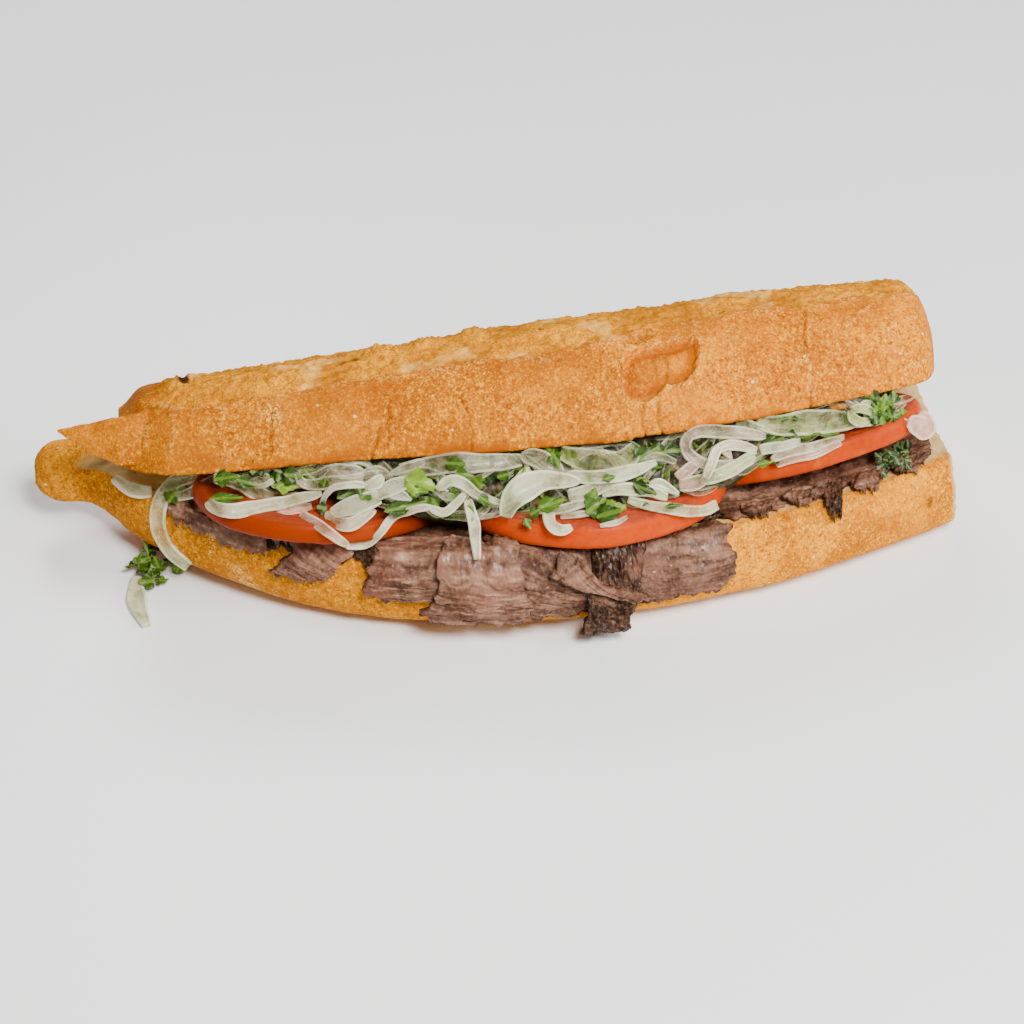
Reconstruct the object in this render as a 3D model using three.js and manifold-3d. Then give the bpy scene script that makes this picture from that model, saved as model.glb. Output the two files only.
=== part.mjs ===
// A doner kebab sandwich: half a baguette, slit along its front and filled with
// shaved meat, tomato slices, and sliced onion with parsley.
// Millimetres, +Z up, +X along the loaf towards its cut end, -Y the open front.
// The origin lies on the flat underside of the loaf, below the middle of the filling.
import * as THREE from "three";
import { mergeVertices } from "three/addons/utils/BufferGeometryUtils.js";
import Module from "manifold-3d";

const wasm = await Module();
wasm.setup();

// ---------------------------------------------------------------- driving dimensions
const HEEL_TIP_X = -136.5; // the loaf's own rounded end, left on the lower half
const LOWER_END_X = 132; // where the lower half was cut off
const UPPER_LEFT_X = -109.5; // blunt left end of the upper half, behind its torn tongue
const UPPER_END_X = 131.5;

const LIP_Z = 26; // height of the lower half's cut edge at the front
const BACK_RISE = 2; // the cut rises towards the back, where the halves meet
const BELLY_X = 15; // the loaf bulges to the front most here
const BELLY_Y = -27.5;
const RECEDE = 29; // by how much the front curves back at the cut end
const HEEL_RECEDE = 40; // and towards the heel
const BACK_Y = 48;
const HEEL_Y = 38.5; // front of the heel
const HEEL_RISE = 10.5; // the heel's underside lifts off the table
const CRUMB_DIP = 3.5; // the filling presses the crumb down by this much

const DOME_WIDTH = 30; // half width of the upper half
const DOME_HEIGHT = 29.2;
const DOME_TILT = THREE.MathUtils.degToRad(24); // the upper half hinges up at the back
const SEAM = 0.5; // between the two halves at the back

const MEAT_THICKNESS = 2.4;
const ONION_THICKNESS = 1.4;
const GAP = 0.45; // clearance between pieces that touch
const SIMPLIFY = 0.12; // cuts leave slivers smaller than this, which are merged away
const SLIVER = 0.02; // a triangle lower than this is turned

// ---------------------------------------------------------------- small helpers
const { clamp, lerp, smoothstep, degToRad } = THREE.MathUtils;
const square = (t) => t * t;
const superellipse = (t, n) => Math.pow(Math.max(0, 1 - Math.pow(Math.abs(t), n)), 1 / n);

// A repeatable stream of numbers from 0 to 1.
function seeded(seed) {
  let state = seed;
  return () => {
    state = (state * 1664525 + 1013904223) % 4294967296;
    return state / 4294967296;
  };
}

// A smooth wave of mixed frequencies, about -1 to 1, for uneven edges.
function wander(t, seed) {
  return (
    0.5 * Math.sin(t * 1.0 + seed * 1.7) +
    0.3 * Math.sin(t * 2.3 + seed * 4.1) +
    0.2 * Math.sin(t * 4.9 + seed * 2.9)
  );
}

// Closed rings of equal size, one after another, become one closed skin.
function loft(rings) {
  const count = rings[0].length;
  const points = rings.flat();
  const index = [];
  for (let i = 0; i + 1 < rings.length; i++)
    for (let j = 0; j < count; j++) {
      const a = i * count + j;
      const b = i * count + ((j + 1) % count);
      index.push(a, b, a + count, b, b + count, a + count);
    }
  const last = (rings.length - 1) * count;
  for (const [start, turn] of [[0, 1], [last, 0]]) {
    const ring = points.slice(start, start + count);
    const middle = ring.reduce((sum, p) => sum.add(p), new THREE.Vector3()).divideScalar(count);
    points.push(middle);
    for (let j = 0; j < count; j++) {
      const a = start + j;
      const b = start + ((j + 1) % count);
      index.push(points.length - 1, turn ? b : a, turn ? a : b);
    }
  }
  return geometryFrom(points, index);
}

function geometryFrom(points, index) {
  const geometry = new THREE.BufferGeometry().setFromPoints(points);
  geometry.setIndex(index);
  return geometry;
}

// A sheet of points[i][j] given a thickness along normals[i][j], as a closed slab.
function slab(points, normals, thickness) {
  const rows = points.length;
  const columns = points[0].length;
  const under = points.flat();
  const over = points.flatMap((row, i) =>
    row.map((p, j) => p.clone().addScaledVector(normals[i][j], thickness(i, j))));
  const half = rows * columns;
  const index = [];
  const quad = (a, b, c, d) => index.push(a, b, c, a, c, d);
  for (let i = 0; i + 1 < rows; i++)
    for (let j = 0; j + 1 < columns; j++) {
      const a = i * columns + j;
      quad(a, a + columns, a + columns + 1, a + 1);
      quad(half + a, half + a + 1, half + a + columns + 1, half + a + columns);
    }
  const rim = [];
  for (let j = 0; j < columns; j++) rim.push(j);
  for (let i = 1; i < rows; i++) rim.push(i * columns + columns - 1);
  for (let j = columns - 2; j >= 0; j--) rim.push((rows - 1) * columns + j);
  for (let i = rows - 2; i > 0; i--) rim.push(i * columns);
  rim.forEach((a, k) => {
    const b = rim[(k + 1) % rim.length];
    quad(a, b, half + b, half + a);
  });
  return geometryFrom([...under, ...over], index);
}

// Between three.js geometry and the solids that join and cut.
function solid(geometry) {
  const bare = geometry.clone();
  bare.deleteAttribute("normal");
  bare.deleteAttribute("uv");
  const merged = mergeVertices(bare, 1e-3);
  const made = new wasm.Manifold(new wasm.Mesh({
    numProp: 3,
    vertProperties: merged.getAttribute("position").array,
    triVerts: new Uint32Array(merged.index.array),
  }));
  if (made.volume() > 0) return made;
  const turned = Uint32Array.from(merged.index.array);
  for (let i = 0; i < turned.length; i += 3)
    [turned[i], turned[i + 1]] = [turned[i + 1], turned[i]];
  return new wasm.Manifold(new wasm.Mesh({
    numProp: 3,
    vertProperties: merged.getAttribute("position").array,
    triVerts: turned,
  }));
}

function geometryOf(manifold) {
  const mesh = manifold.getMesh();
  const position = new Float32Array(mesh.numVert * 3);
  for (let i = 0; i < mesh.numVert; i++)
    position.set(mesh.vertProperties.subarray(i * mesh.numProp, i * mesh.numProp + 3), i * 3);
  const geometry = new THREE.BufferGeometry();
  geometry.setAttribute("position", new THREE.BufferAttribute(position, 3));
  geometry.setIndex(new THREE.BufferAttribute(mesh.triVerts, 1));
  return geometry;
}

// Corners that cuts left in one place, where a body only touches itself, are drawn apart.
function unpinched(geometry) {
  const position = geometry.getAttribute("position");
  const point = (i) => new THREE.Vector3().fromBufferAttribute(position, i);
  const places = new Map();
  for (let i = 0; i < position.count; i++) {
    const key = point(i).toArray().map((value) => Math.round(value * 500)).join();
    places.set(key, [...(places.get(key) ?? []), i]);
  }
  const shared = new Set([...places.values()].filter((list) => list.length > 1).flat());
  const index = geometry.index.array;
  for (const i of shared) {
    const around = [];
    for (let k = 0; k < index.length; k++)
      if (index[k] === i) around.push(point(index[3 * Math.floor(k / 3) + ((k + 1) % 3)]));
    const middle = around.reduce((sum, p) => sum.add(p), new THREE.Vector3()).divideScalar(around.length);
    const moved = point(i).lerp(middle, 0.08);
    position.setXYZ(i, ...moved.toArray());
  }
  return geometry;
}

// Slivers that cuts leave: a triangle nearly flat to its longest side gives that side to its neighbour.
function unslivered(geometry) {
  const position = geometry.getAttribute("position");
  const point = (i) => new THREE.Vector3().fromBufferAttribute(position, i);
  const index = geometry.index.array;
  const height = (a, b, c) => {
    const base = point(b).sub(point(a));
    return base.clone().cross(point(c).sub(point(a))).length() / base.length();
  };
  const flatness = (a, b, c) => Math.min(height(a, b, c), height(b, c, a), height(c, a, b));
  const sides = new Map();
  const key = (a, b) => `${a},${b}`;
  const note = (t) => [0, 1, 2].forEach((k) => sides.set(key(index[t + k], index[t + ((k + 1) % 3)]), t));
  const drop = (t) => [0, 1, 2].forEach((k) => sides.delete(key(index[t + k], index[t + ((k + 1) % 3)])));
  for (let t = 0; t < index.length; t += 3) note(t);
  for (let t = 0; t < index.length; t += 3) {
    const corners = [0, 1, 2].map((k) => [index[t + k], index[t + ((k + 1) % 3)], index[t + ((k + 2) % 3)]]);
    const [a, b, c] = corners.reduce((best, tried) => (height(...tried) < height(...best) ? tried : best));
    if (height(a, b, c) > SLIVER) continue;
    const other = sides.get(key(b, a));
    const d = [0, 1, 2].map((k) => index[other + k]).find((corner) => corner !== a && corner !== b);
    const kept = Math.min(flatness(a, b, c), flatness(b, a, d));
    if (sides.has(key(c, d)) || sides.has(key(d, c))) continue;
    if (Math.min(flatness(a, d, c), flatness(d, b, c)) <= kept) continue;
    drop(t);
    drop(other);
    index.set([a, d, c], t);
    index.set([d, b, c], other);
    note(t);
    note(other);
  }
  return geometry;
}

const join = (parts) => parts.reduce((sum, part) => sum.add(part));

// The largest piece left after cutting, without loose scraps.
function largest(manifold) {
  return manifold.decompose().reduce((best, part) => (part.volume() > best.volume() ? part : best));
}

// A solid pushed outwards along its corner normals, to cut clearance into its neighbours.
function grown(manifold, gap = GAP) {
  const geometry = geometryOf(manifold);
  geometry.computeVertexNormals();
  const position = geometry.getAttribute("position");
  const normal = geometry.getAttribute("normal");
  for (let i = 0; i < position.count; i++)
    position.setXYZ(
      i,
      position.getX(i) + gap * normal.getX(i),
      position.getY(i) + gap * normal.getY(i),
      position.getZ(i) + gap * normal.getZ(i),
    );
  return solid(geometry);
}

// ---------------------------------------------------------------- the loaf's lower half
const bellyBow = (x) => square((x - BELLY_X) / 119);
const heelBow = (x) => lerp(
  BELLY_Y + HEEL_RECEDE * bellyBow(x) + 6 * Math.pow(bellyBow(x), 3),
  HEEL_Y,
  smoothstep(-x, 108, 128),
);
const lowerFront = (x) => (x > BELLY_X ? BELLY_Y + RECEDE * bellyBow(x) : heelBow(x));
const lowerBack = (x) => BACK_Y + (x > -20 ? 14 : 7) * square((x + 20) / 130);
const lowerRest = (x) => (x < -50 ? HEEL_RISE * Math.pow((-50 - x) / 80, 1.4) : 0);
const lowerLip = (x) => LIP_Z - 4 * smoothstep(-x, 108, 126);

// Share of the full section that is left near the heel's round tip.
const heelRound = (x) => superellipse(clamp((HEEL_TIP_X + 10 - x) / 10.2, 0, 1), 2.2);

function lowerShape(x) {
  const round = heelRound(x);
  const middle = (lowerFront(x) + lowerBack(x)) / 2;
  const width = ((lowerBack(x) - lowerFront(x)) / 2) * round;
  const rest = lerp(17, lowerRest(x), round);
  const lip = lerp(18, lowerLip(x), round);
  const waist = lerp(rest, lip, 0.42);
  const backLip = lip + BACK_RISE * round;
  return { middle, width, rest, lip, waist, backLip };
}

// Half width of the lower half at height z, as a share of its widest; the front curls in more.
function lowerGirth(shape, z, spread = 1.45) {
  const below = z < shape.waist;
  const reach = below ? (shape.waist - shape.rest) * 1.03 : (shape.lip - shape.waist) * spread;
  return superellipse((z - shape.waist) / Math.max(reach, 1e-6), below ? 2.9 : 2.5);
}
const backGirth = (shape, z) => lowerGirth(shape, z, 2.4);

// The sawn end leans: its foot stands out further than its lip.
const endLean = (x, z) => 0.09 * (13 - z) * smoothstep(x, 105, LOWER_END_X);

// The knife went in behind the heel, so the heel keeps its upper crust: 1 on the heel, 0 on the cut.
const heelCrown = (x, across) => 1 - smoothstep(x, -127 + 9 * (across + 1), -121 + 9 * (across + 1));

// Height of the cut face; across runs from -1 at the front lip to 1 at the back.
function lowerCut(x, across) {
  const shape = lowerShape(x);
  const hollow = CRUMB_DIP * (1 - square(across)) * smoothstep(x, -112, -85);
  const crown = (4.5 * heelRound(x) + 0.5) * Math.sqrt(1 - square(across)) * heelCrown(x, across);
  const rise = BACK_RISE * smoothstep(across, 0.3, 1) * heelRound(x);
  return shape.lip - hollow + crown + rise;
}

function lowerRing(x) {
  const shape = lowerShape(x);
  const frontShare = lowerGirth(shape, shape.lip);
  const backShare = backGirth(shape, shape.backLip);
  const ring = [];
  const wallSteps = 7;
  const baseSteps = 3;
  const faceSteps = 9;
  const at = (across, z) =>
    new THREE.Vector3(x + endLean(x, z), shape.middle + across * shape.width, z);
  const wallZ = (k, top) => lerp(shape.rest, top, Math.pow(k / wallSteps, 1.35));
  for (let k = wallSteps; k >= 0; k--) {
    const z = wallZ(k, shape.lip);
    ring.push(at(-lowerGirth(shape, z), z));
  }
  const baseShare = lowerGirth(shape, shape.rest);
  for (let k = 1; k < baseSteps; k++)
    ring.push(at(lerp(-baseShare, baseShare, k / baseSteps), shape.rest));
  for (let k = 0; k <= wallSteps; k++) {
    const z = wallZ(k, shape.backLip);
    ring.push(at(backGirth(shape, z), z));
  }
  for (let k = 1; k < faceSteps; k++) {
    const across = lerp(1, -1, k / faceSteps);
    ring.push(at(across * (across < 0 ? frontShare : backShare), lowerCut(x, across)));
  }
  return ring;
}

// Places along the loaf, closer together at its ends and from fineFrom to fineTo.
function stations(from, to, count, fineFrom, fineTo) {
  const list = [];
  for (let i = 0; i <= count; i++) {
    const t = i / count;
    list.push(lerp(from, to, lerp(t, 0.5 - 0.5 * Math.cos(Math.PI * t), 0.55)));
  }
  return list.filter((x) => x < fineFrom || x > fineTo).concat(
    Array.from({ length: 9 }, (_, i) => lerp(fineFrom, fineTo, i / 8)),
  ).sort((a, b) => a - b);
}

function lowerHalf() {
  const xs = stations(HEEL_TIP_X + 0.15, LOWER_END_X, 38, -130, -110);
  return solid(loft(xs.map(lowerRing)));
}

// ---------------------------------------------------------------- the loaf's upper half
const domeTilt = (x) => DOME_TILT * lerp(0.83, 1, smoothstep(x, -115, -40));
const domeEnds = (x) =>
  superellipse(clamp((-82 - x) / 37, 0, 1), 2.5) *
  superellipse(clamp((x - UPPER_END_X + 17) / 17.4, 0, 1), 2.8);
const domeWide = (x) => DOME_WIDTH * (1 - 0.0014 * Math.max(0, 25 - x)) * domeEnds(x);
const domeHigh = (x) =>
  (DOME_HEIGHT - 0.09 * Math.max(0, 10 - x) - 0.1 * Math.max(0, x - 70)) * domeEnds(x);

// The hinge line: the upper half's back edge sits on the lower half's.
function domeHinge(x) {
  const shape = lowerShape(x);
  const y = shape.middle + backGirth(shape, shape.backLip) * shape.width;
  return { y: y + 0.6, z: shape.backLip + SEAM };
}

// From the cut plane's own directions, along (front negative) and out, to the part's frame.
function domePlace(x, along, out) {
  const hinge = domeHinge(x);
  const cos = Math.cos(domeTilt(x));
  const sin = Math.sin(domeTilt(x));
  const back = along - domeWide(x);
  return new THREE.Vector3(x, hinge.y + back * cos + out * sin, hinge.z - back * sin + out * cos);
}

// The crust split across at CRACK_X: left of it stands proud and hangs lower.
const CRACK_X = 33;
const CRACK_STEP = 1.6;
const CRATER = { x: 44, share: 0.25, length: 11, height: 0.1, depth: 3.2 };

// The paler strip along the top, where the crust burst open in the oven.
const STRIP = { from: 0.34, to: 0.7, edge: 0.04 };

// Torn crumbs that stand up from the split strip, as [x, share].
const KNOBS = [[-34, 0.47], [-20, 0.5], [-7, 0.5], [-92, 0.5]];

// 1 in the middle of an oval of the dome's skin, 0 on its edge.
const oval = (x, share, middle, length, height) =>
  1 - square((x - middle[0]) / length) - square((share - middle[1]) / height);

// How far the crust stands out from the plain dome; share is 0 at the front edge, 1 at the back.
function crustRelief(x, share) {
  const proud = CRACK_STEP * (1 - smoothstep(x, CRACK_X - 0.6, CRACK_X + 0.6));
  const fade = 1 - smoothstep(share, 0.3, 0.42);
  const inCrater = oval(x, share, [CRATER.x, CRATER.share], CRATER.length, CRATER.height);
  const crater = -CRATER.depth * smoothstep(inCrater, 0, 0.55);
  const onStrip =
    smoothstep(share, STRIP.from, STRIP.from + STRIP.edge) *
    (1 - smoothstep(share, STRIP.to - STRIP.edge, STRIP.to));
  const coarse = 0.9 * wander(x * 0.21 + share * 9, 3);
  const fine = 0.6 * wander(x * 0.55 - share * 14, 8);
  const knob = Math.max(0, ...KNOBS.map((middle) => oval(x, share, middle, 6, 0.06)));
  const relief = proud * fade + crater + onStrip * (coarse + fine - 0.5) + 2.2 * knob;
  return relief * Math.min(1, domeEnds(x) * 1.5);
}

function domePoint(x, share) {
  const angle = share * Math.PI;
  const power = 2 / 2.25;
  const along = -Math.sign(Math.cos(angle)) * Math.pow(Math.abs(Math.cos(angle)), power);
  const out = Math.pow(Math.sin(angle), power);
  const relief = crustRelief(x, share);
  return domePlace(x, along * (domeWide(x) + relief), out * (domeHigh(x) + relief));
}

// The cut face, a little hollow; across runs from -1 at the front edge to 1 at the hinge.
function domeFace(x, across) {
  const front = domeWide(x) + crustRelief(x, 0);
  const along = across * (across < 0 ? front : domeWide(x));
  return domePlace(x, along, 3 * domeEnds(x) * (1 - square(across)));
}

function upperRing(x) {
  const crustSteps = 22;
  const faceSteps = 8;
  const ring = [];
  for (let k = 0; k <= crustSteps; k++) ring.push(domePoint(x, k / crustSteps));
  for (let k = 1; k < faceSteps; k++) ring.push(domeFace(x, lerp(1, -1, k / faceSteps)));
  return ring;
}

// A thin tongue of crust, torn off the heel when the loaf was split.
const TONGUE = [
  { at: [-104, 16.5, 50], reach: 7.6, thick: 2.6 },
  { at: [-109.7, 17, 49.6], reach: 7.0, thick: 2.2 },
  { at: [-117.1, 20.5, 48.3], reach: 4.7, thick: 1.8 },
  { at: [-121.8, 22.8, 48.6], reach: 2.5, thick: 1.3 },
  { at: [-126.8, 25, 48.8], reach: 0.5, thick: 0.6 },
];

function tongue() {
  const ring = ({ at, reach, thick }) => Array.from({ length: 10 }, (_, k) => {
    const angle = (k / 10) * 2 * Math.PI;
    const along = reach * Math.cos(angle);
    const out = thick * Math.sin(angle);
    return new THREE.Vector3(at[0], at[1] + along * 0.7 - out * 0.7, at[2] + along * 0.7 + out * 0.7);
  });
  return solid(loft(TONGUE.map(ring)));
}

function upperHalf() {
  const xs = stations(UPPER_LEFT_X, UPPER_END_X, 36, CRACK_X - 2, CRACK_X + 23);
  return join([solid(loft(xs.map(upperRing))), tongue()]);
}

// ---------------------------------------------------------------- places on the filling
// Follows the lower half's surface: t is 0 at the lip, negative inwards over the cut face and
// positive down the front wall; lift is the distance off the bread.
function drape(x, t, lift) {
  const shape = lowerShape(x);
  const lipShare = lowerGirth(shape, shape.lip);
  const lipY = shape.middle - lipShare * shape.width;
  const bend = 5; // the radius with which a limp slice goes over the lip
  const inward = (reach) => {
    const across = Math.min(-1 + reach / (lipShare * shape.width), 0.95);
    return new THREE.Vector3(x, lipY + reach, lowerCut(x, across));
  };
  const down = (reach) => {
    const z = Math.max(shape.rest, shape.lip - reach);
    return new THREE.Vector3(x, shape.middle - lowerGirth(shape, z) * shape.width, z);
  };
  const turn = (Math.PI / 2) * smoothstep(t, -bend, bend);
  const normal = new THREE.Vector3(0, -Math.sin(turn), Math.cos(turn));
  return (t < 0 ? inward(-t) : down(t)).addScaledVector(normal, lift);
}

// The open front of the salad: v runs from 0 on the tomatoes to 1 under the upper half's edge.
function frontage(x, v, lift) {
  const shape = lowerShape(x);
  const lipY = shape.middle - lowerGirth(shape, shape.lip) * shape.width;
  const right = smoothstep(x, 50, 80);
  const left = smoothstep(-x, 20, 50);
  const foot = new THREE.Vector3(x, lipY + 1.5 + 6 * right + 2.5 * left, 39.5 + 4 * right);
  const head = domeFace(x, -0.97).add(new THREE.Vector3(0, 0, -1));
  const normal = new THREE.Vector3(0, foot.z - head.z, head.y - foot.y).normalize();
  return foot.lerp(head, v).addScaledVector(normal, lift);
}

// Normals of a grid of points, for giving it a thickness.
function gridNormals(points) {
  const pick = (i, j) => points[clamp(i, 0, points.length - 1)][clamp(j, 0, points[0].length - 1)];
  return points.map((row, i) => row.map((_, j) => {
    const u = pick(i + 1, j).clone().sub(pick(i - 1, j));
    const v = pick(i, j + 1).clone().sub(pick(i, j - 1));
    return v.cross(u).normalize();
  }));
}

// A limp slice of meat over the lip: at(u, v) gives x, t and lift for u across and v downwards.
function limpSlice(at, rows, columns, thickness) {
  const points = [];
  for (let i = 0; i < rows; i++) {
    points.push([]);
    for (let j = 0; j < columns; j++) {
      const spot = at((j / (columns - 1)) * 2 - 1, i / (rows - 1));
      points[i].push(drape(spot.x, spot.t, spot.lift));
    }
  }
  const thin = (i, j) => {
    const rim = Math.min(i, rows - 1 - i, j, columns - 1 - j);
    return thickness * (rim === 0 ? 0.5 : 1);
  };
  return solid(slab(points, gridNormals(points), thin));
}

// ---------------------------------------------------------------- shaved meat
// Each pair holds the value at the upper and at the lower end: x along the loaf, reach as t,
// width across the slice, and lift off the bread.
const SHAVINGS = [
  { name: "dark", x: [27, 21], reach: [-4, 24], width: [15, 13], lift: [2.6, 6], seed: 7 },
  { name: "smooth", x: [46, 48], reach: [-2, 14.5], width: [29, 24], lift: [0.8, 0.8], seed: 9 },
  { name: "finger", x: [11, 31], reach: [1, 9], width: [9, 6], lift: [6.2, 6.4], seed: 4 },
  { name: "folded", x: [-12, -14], reach: [-2, 17], width: [22, 30], lift: [5.2, 3.6], seed: 5 },
  { name: "broad", x: [-24, -27], reach: [-6, 13], width: [34, 34], lift: [0.8, 0.8], seed: 2 },
  { name: "slab", x: [5, 2], reach: [-5, 18], width: [30, 33], lift: [2.4, 1], seed: 6 },
  { name: "strap", x: [-50, -64], reach: [-4, 9.5], width: [13, 15], lift: [0.8, 0.8], seed: 3 },
];

function shaving({ x, reach, width, lift, seed }) {
  const at = (u, v) => {
    const half = (lerp(width[0], width[1], v) / 2) * (1 + 0.12 * wander(v * 7 + u, seed));
    const ragged = 2.2 * wander(u * 5, seed + 5) * (v - 0.5);
    const corner = 2.6 * Math.pow(u, 4) * (0.5 - v);
    return {
      x: lerp(x[0], x[1], v) + u * half,
      t: lerp(reach[0], reach[1], v) + ragged + corner,
      lift: lerp(lift[0], lift[1], v) + 0.5 * (1 + wander(u * 3.4 + v * 3, seed + 2)),
    };
  };
  return limpSlice(at, 8, 9, MEAT_THICKNESS);
}

// The bed of meat that runs through the sandwich under the tomatoes, frayed along its front.
function meatBed() {
  const rows = 5;
  const columns = 32;
  const at = (j) => {
    const x = lerp(-97, 127, j / (columns - 1));
    const ends = superellipse(((j / (columns - 1)) * 2 - 1) * 0.995, 4);
    const fray = 1.2 * wander(x * 0.9, 11);
    const underShavings = 6 * smoothstep(x, -72, -66) * (1 - smoothstep(x, 58, 64));
    const back = 2 * lowerShape(x).width - 14;
    return { x, front: -1.8 - fray - underShavings - 8 * (1 - ends), back: -(8 + (back - 8) * ends) };
  };
  const grid = (lift) => Array.from({ length: rows }, (_, i) =>
    Array.from({ length: columns }, (_, j) => {
      const v = i / (rows - 1);
      const { x, front, back } = at(j);
      const edge = Math.min(1, 3 * v, 3 * (1 - v)) * Math.min(1, j / 2, (columns - 1 - j) / 2);
      return drape(x, lerp(back, front, v), 0.6 + lift(x, v) * (0.35 + 0.65 * edge));
    }));
  const lower = grid(() => 0);
  const upper = grid((x, v) => 5 + 1.1 * wander(x * 0.5 + v * 5, 21));
  const thickness = (i, j) => upper[i][j].distanceTo(lower[i][j]);
  const normals = upper.map((row, i) => row.map((p, j) => p.clone().sub(lower[i][j]).normalize()));
  return solid(slab(lower, normals, thickness));
}

// Crisp scraps that dangle from the bed over the lip, fused with it.
const SCRAPS = [
  { x: -86, t: [-6, 0.6], width: 12, seed: 1 },
  { x: -76, t: [-6, 1.2], width: 13, seed: 2 },
  { x: 70, t: [-6, -0.5], width: 9, seed: 4 },
  { x: 84, t: [-6, 0.6], width: 10, seed: 5 },
  { x: 95.5, t: [-6, 6.5], width: 5.5, seed: 6 },
  { x: 107, t: [-6, 1.8], width: 8, seed: 7 },
  { x: 119, t: [-6, 0.8], width: 12, seed: 8 },
];

function scrap({ x, t, width, seed }) {
  const at = (u, v) => ({
    x: x + 1.5 * wander(v * 4, seed) + (u * width * (1 - 0.4 * v * v)) / 2,
    t: lerp(t[0], t[1], v) + 0.9 * wander(u * 5, seed + 3),
    lift: 0.8 + 1.6 * (1 - v) + 0.4 * wander(u * 4 + v * 6, seed + 6),
  });
  return limpSlice(at, 4, 5, 2.2);
}

const meatLayer = () => join([meatBed(), ...SCRAPS.map(scrap)]);

// ---------------------------------------------------------------- tomato slices
// Oval slices; turn holds the yaw, the pitch (front up) and the roll (right side down), in degrees.
const TOMATOES = [
  { name: "middle", at: [22.9, 2, 30.1], size: [39.5, 31], thickness: 7, turn: [-3.8, 11.2, -2] },
  { name: "left", at: [-54.7, 9.5, 29.1], size: [36.5, 28], thickness: 6, turn: [3.6, 15.7, 9.5] },
  { name: "right", at: [82.5, 17, 30.4], size: [41.5, 25], thickness: 6.5, turn: [-3, 18, -11] },
];

function tomato({ at, size, thickness, turn }) {
  const r = size[0];
  const half = thickness / 2;
  const profile = [
    new THREE.Vector2(0, -half),
    new THREE.Vector2(r - 3.2, -half),
    new THREE.Vector2(r - 0.9, -half * 0.66),
    new THREE.Vector2(r, 0),
    new THREE.Vector2(r - 0.9, half * 0.66),
    new THREE.Vector2(r - 3.2, half),
    new THREE.Vector2(0, half),
  ];
  const geometry = new THREE.LatheGeometry(profile, 32);
  geometry.rotateX(Math.PI / 2);
  geometry.scale(1, size[1] / size[0], 1);
  geometry.rotateX(-degToRad(turn[1]));
  geometry.rotateY(degToRad(turn[2]));
  geometry.rotateZ(degToRad(turn[0]));
  geometry.translate(...at);
  return solid(geometry);
}

// ---------------------------------------------------------------- onion, herbs and the rest of the salad
// A ribbon along a path of points, its flat side towards facing.
function ribbon(path, width, thickness, facing, steps = 10) {
  const curve = new THREE.CatmullRomCurve3(path);
  const ring = (i) => {
    const u = i / steps;
    const middle = curve.getPointAt(u);
    const tangent = curve.getTangentAt(u);
    const side = facing(u).cross(tangent).normalize();
    const normal = tangent.clone().cross(side).normalize();
    const half = (width / 2) * (0.35 + 0.65 * Math.min(1, 4 * u, 4 * (1 - u)));
    const corner = (a, b) =>
      middle.clone().addScaledVector(side, a * half).addScaledVector(normal, b * thickness);
    return [corner(-1, 0), corner(-0.1, -0.5), corner(1, 0), corner(0.1, 0.5)];
  };
  return solid(loft(Array.from({ length: steps + 1 }, (_, i) => ring(i))));
}

// Strips that show along the front: start and end as [x, v], bow as how far the middle sags.
function saladStrip({ start, end, bow, width, lift }) {
  const points = [];
  for (let i = 0; i <= 4; i++) {
    const u = i / 4;
    const arch = 4 * u * (1 - u);
    const x = lerp(start[0], end[0], u);
    points.push(frontage(x, lerp(start[1], end[1], u) - bow * arch, -1.5 + (lift + 1.5) * arch));
  }
  return ribbon(points, width, ONION_THICKNESS, () => new THREE.Vector3(0, -0.8, 0.6), 6);
}

function saladStrips() {
  const random = seeded(42);
  const strips = [];
  const count = 24;
  for (let i = 0; i < count; i++) {
    const x = lerp(-90, 112, (i + random()) / count);
    const v = 0.12 + 0.7 * ((i * 0.618) % 1);
    const long = 14 + 18 * random();
    strips.push({
      start: [x - long / 2, v],
      end: [x + long / 2, v + 0.5 * (random() - 0.5)],
      bow: 0.45 * (random() - 0.4),
      width: 3.5 + 4 * random(),
      lift: 0.8 + 1.6 * random(),
    });
  }
  return strips;
}

// The heap itself: from the tomatoes up to the upper half, with an uneven front.
function saladCore() {
  const columns = 24;
  const rings = [];
  for (let j = 0; j < columns; j++) {
    const x = lerp(-99, 118, j / (columns - 1));
    const ends = superellipse(((j / (columns - 1)) * 2 - 1) * 0.995, 3.5);
    const hinge = domeHinge(x);
    const ring = [];
    for (let k = 0; k <= 3; k++) {
      const v = k / 3;
      const uneven = 1.2 * wander(x * 0.4 + v * 4, 31);
      ring.push(frontage(x, lerp(-0.06, 1.02, v), uneven - 1.4 - 6 * (1 - ends)));
    }
    const back = Math.min(ring[0].y + 30 * ends + 4, hinge.y - 8);
    ring.push(domeFace(x, -0.9).add(new THREE.Vector3(0, 0, -1)));
    ring.push(new THREE.Vector3(x, back, 41));
    ring.push(new THREE.Vector3(x, back, 27));
    ring.push(new THREE.Vector3(x, ring[0].y + 6, 29));
    rings.push(ring);
  }
  return solid(loft(rings));
}

const onionSalad = () => join([saladCore(), ...saladStrips().map(saladStrip)]);

// ---------------------------------------------------------------- pieces hanging out at the left
function hangingOnion() {
  const path = [
    drape(-90, -7, 12), drape(-97, -4, 8), drape(-101.5, -1, 4.2), drape(-103.5, 3, 2.4),
    drape(-103, 8, 2), drape(-100, 13, 1.8), drape(-95, 17, 1.6),
  ];
  const facing = (u) => new THREE.Vector3(-0.25, -0.75, 0.55 - 0.5 * u);
  return ribbon(path, 4.6, ONION_THICKNESS, facing, 16);
}

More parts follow.
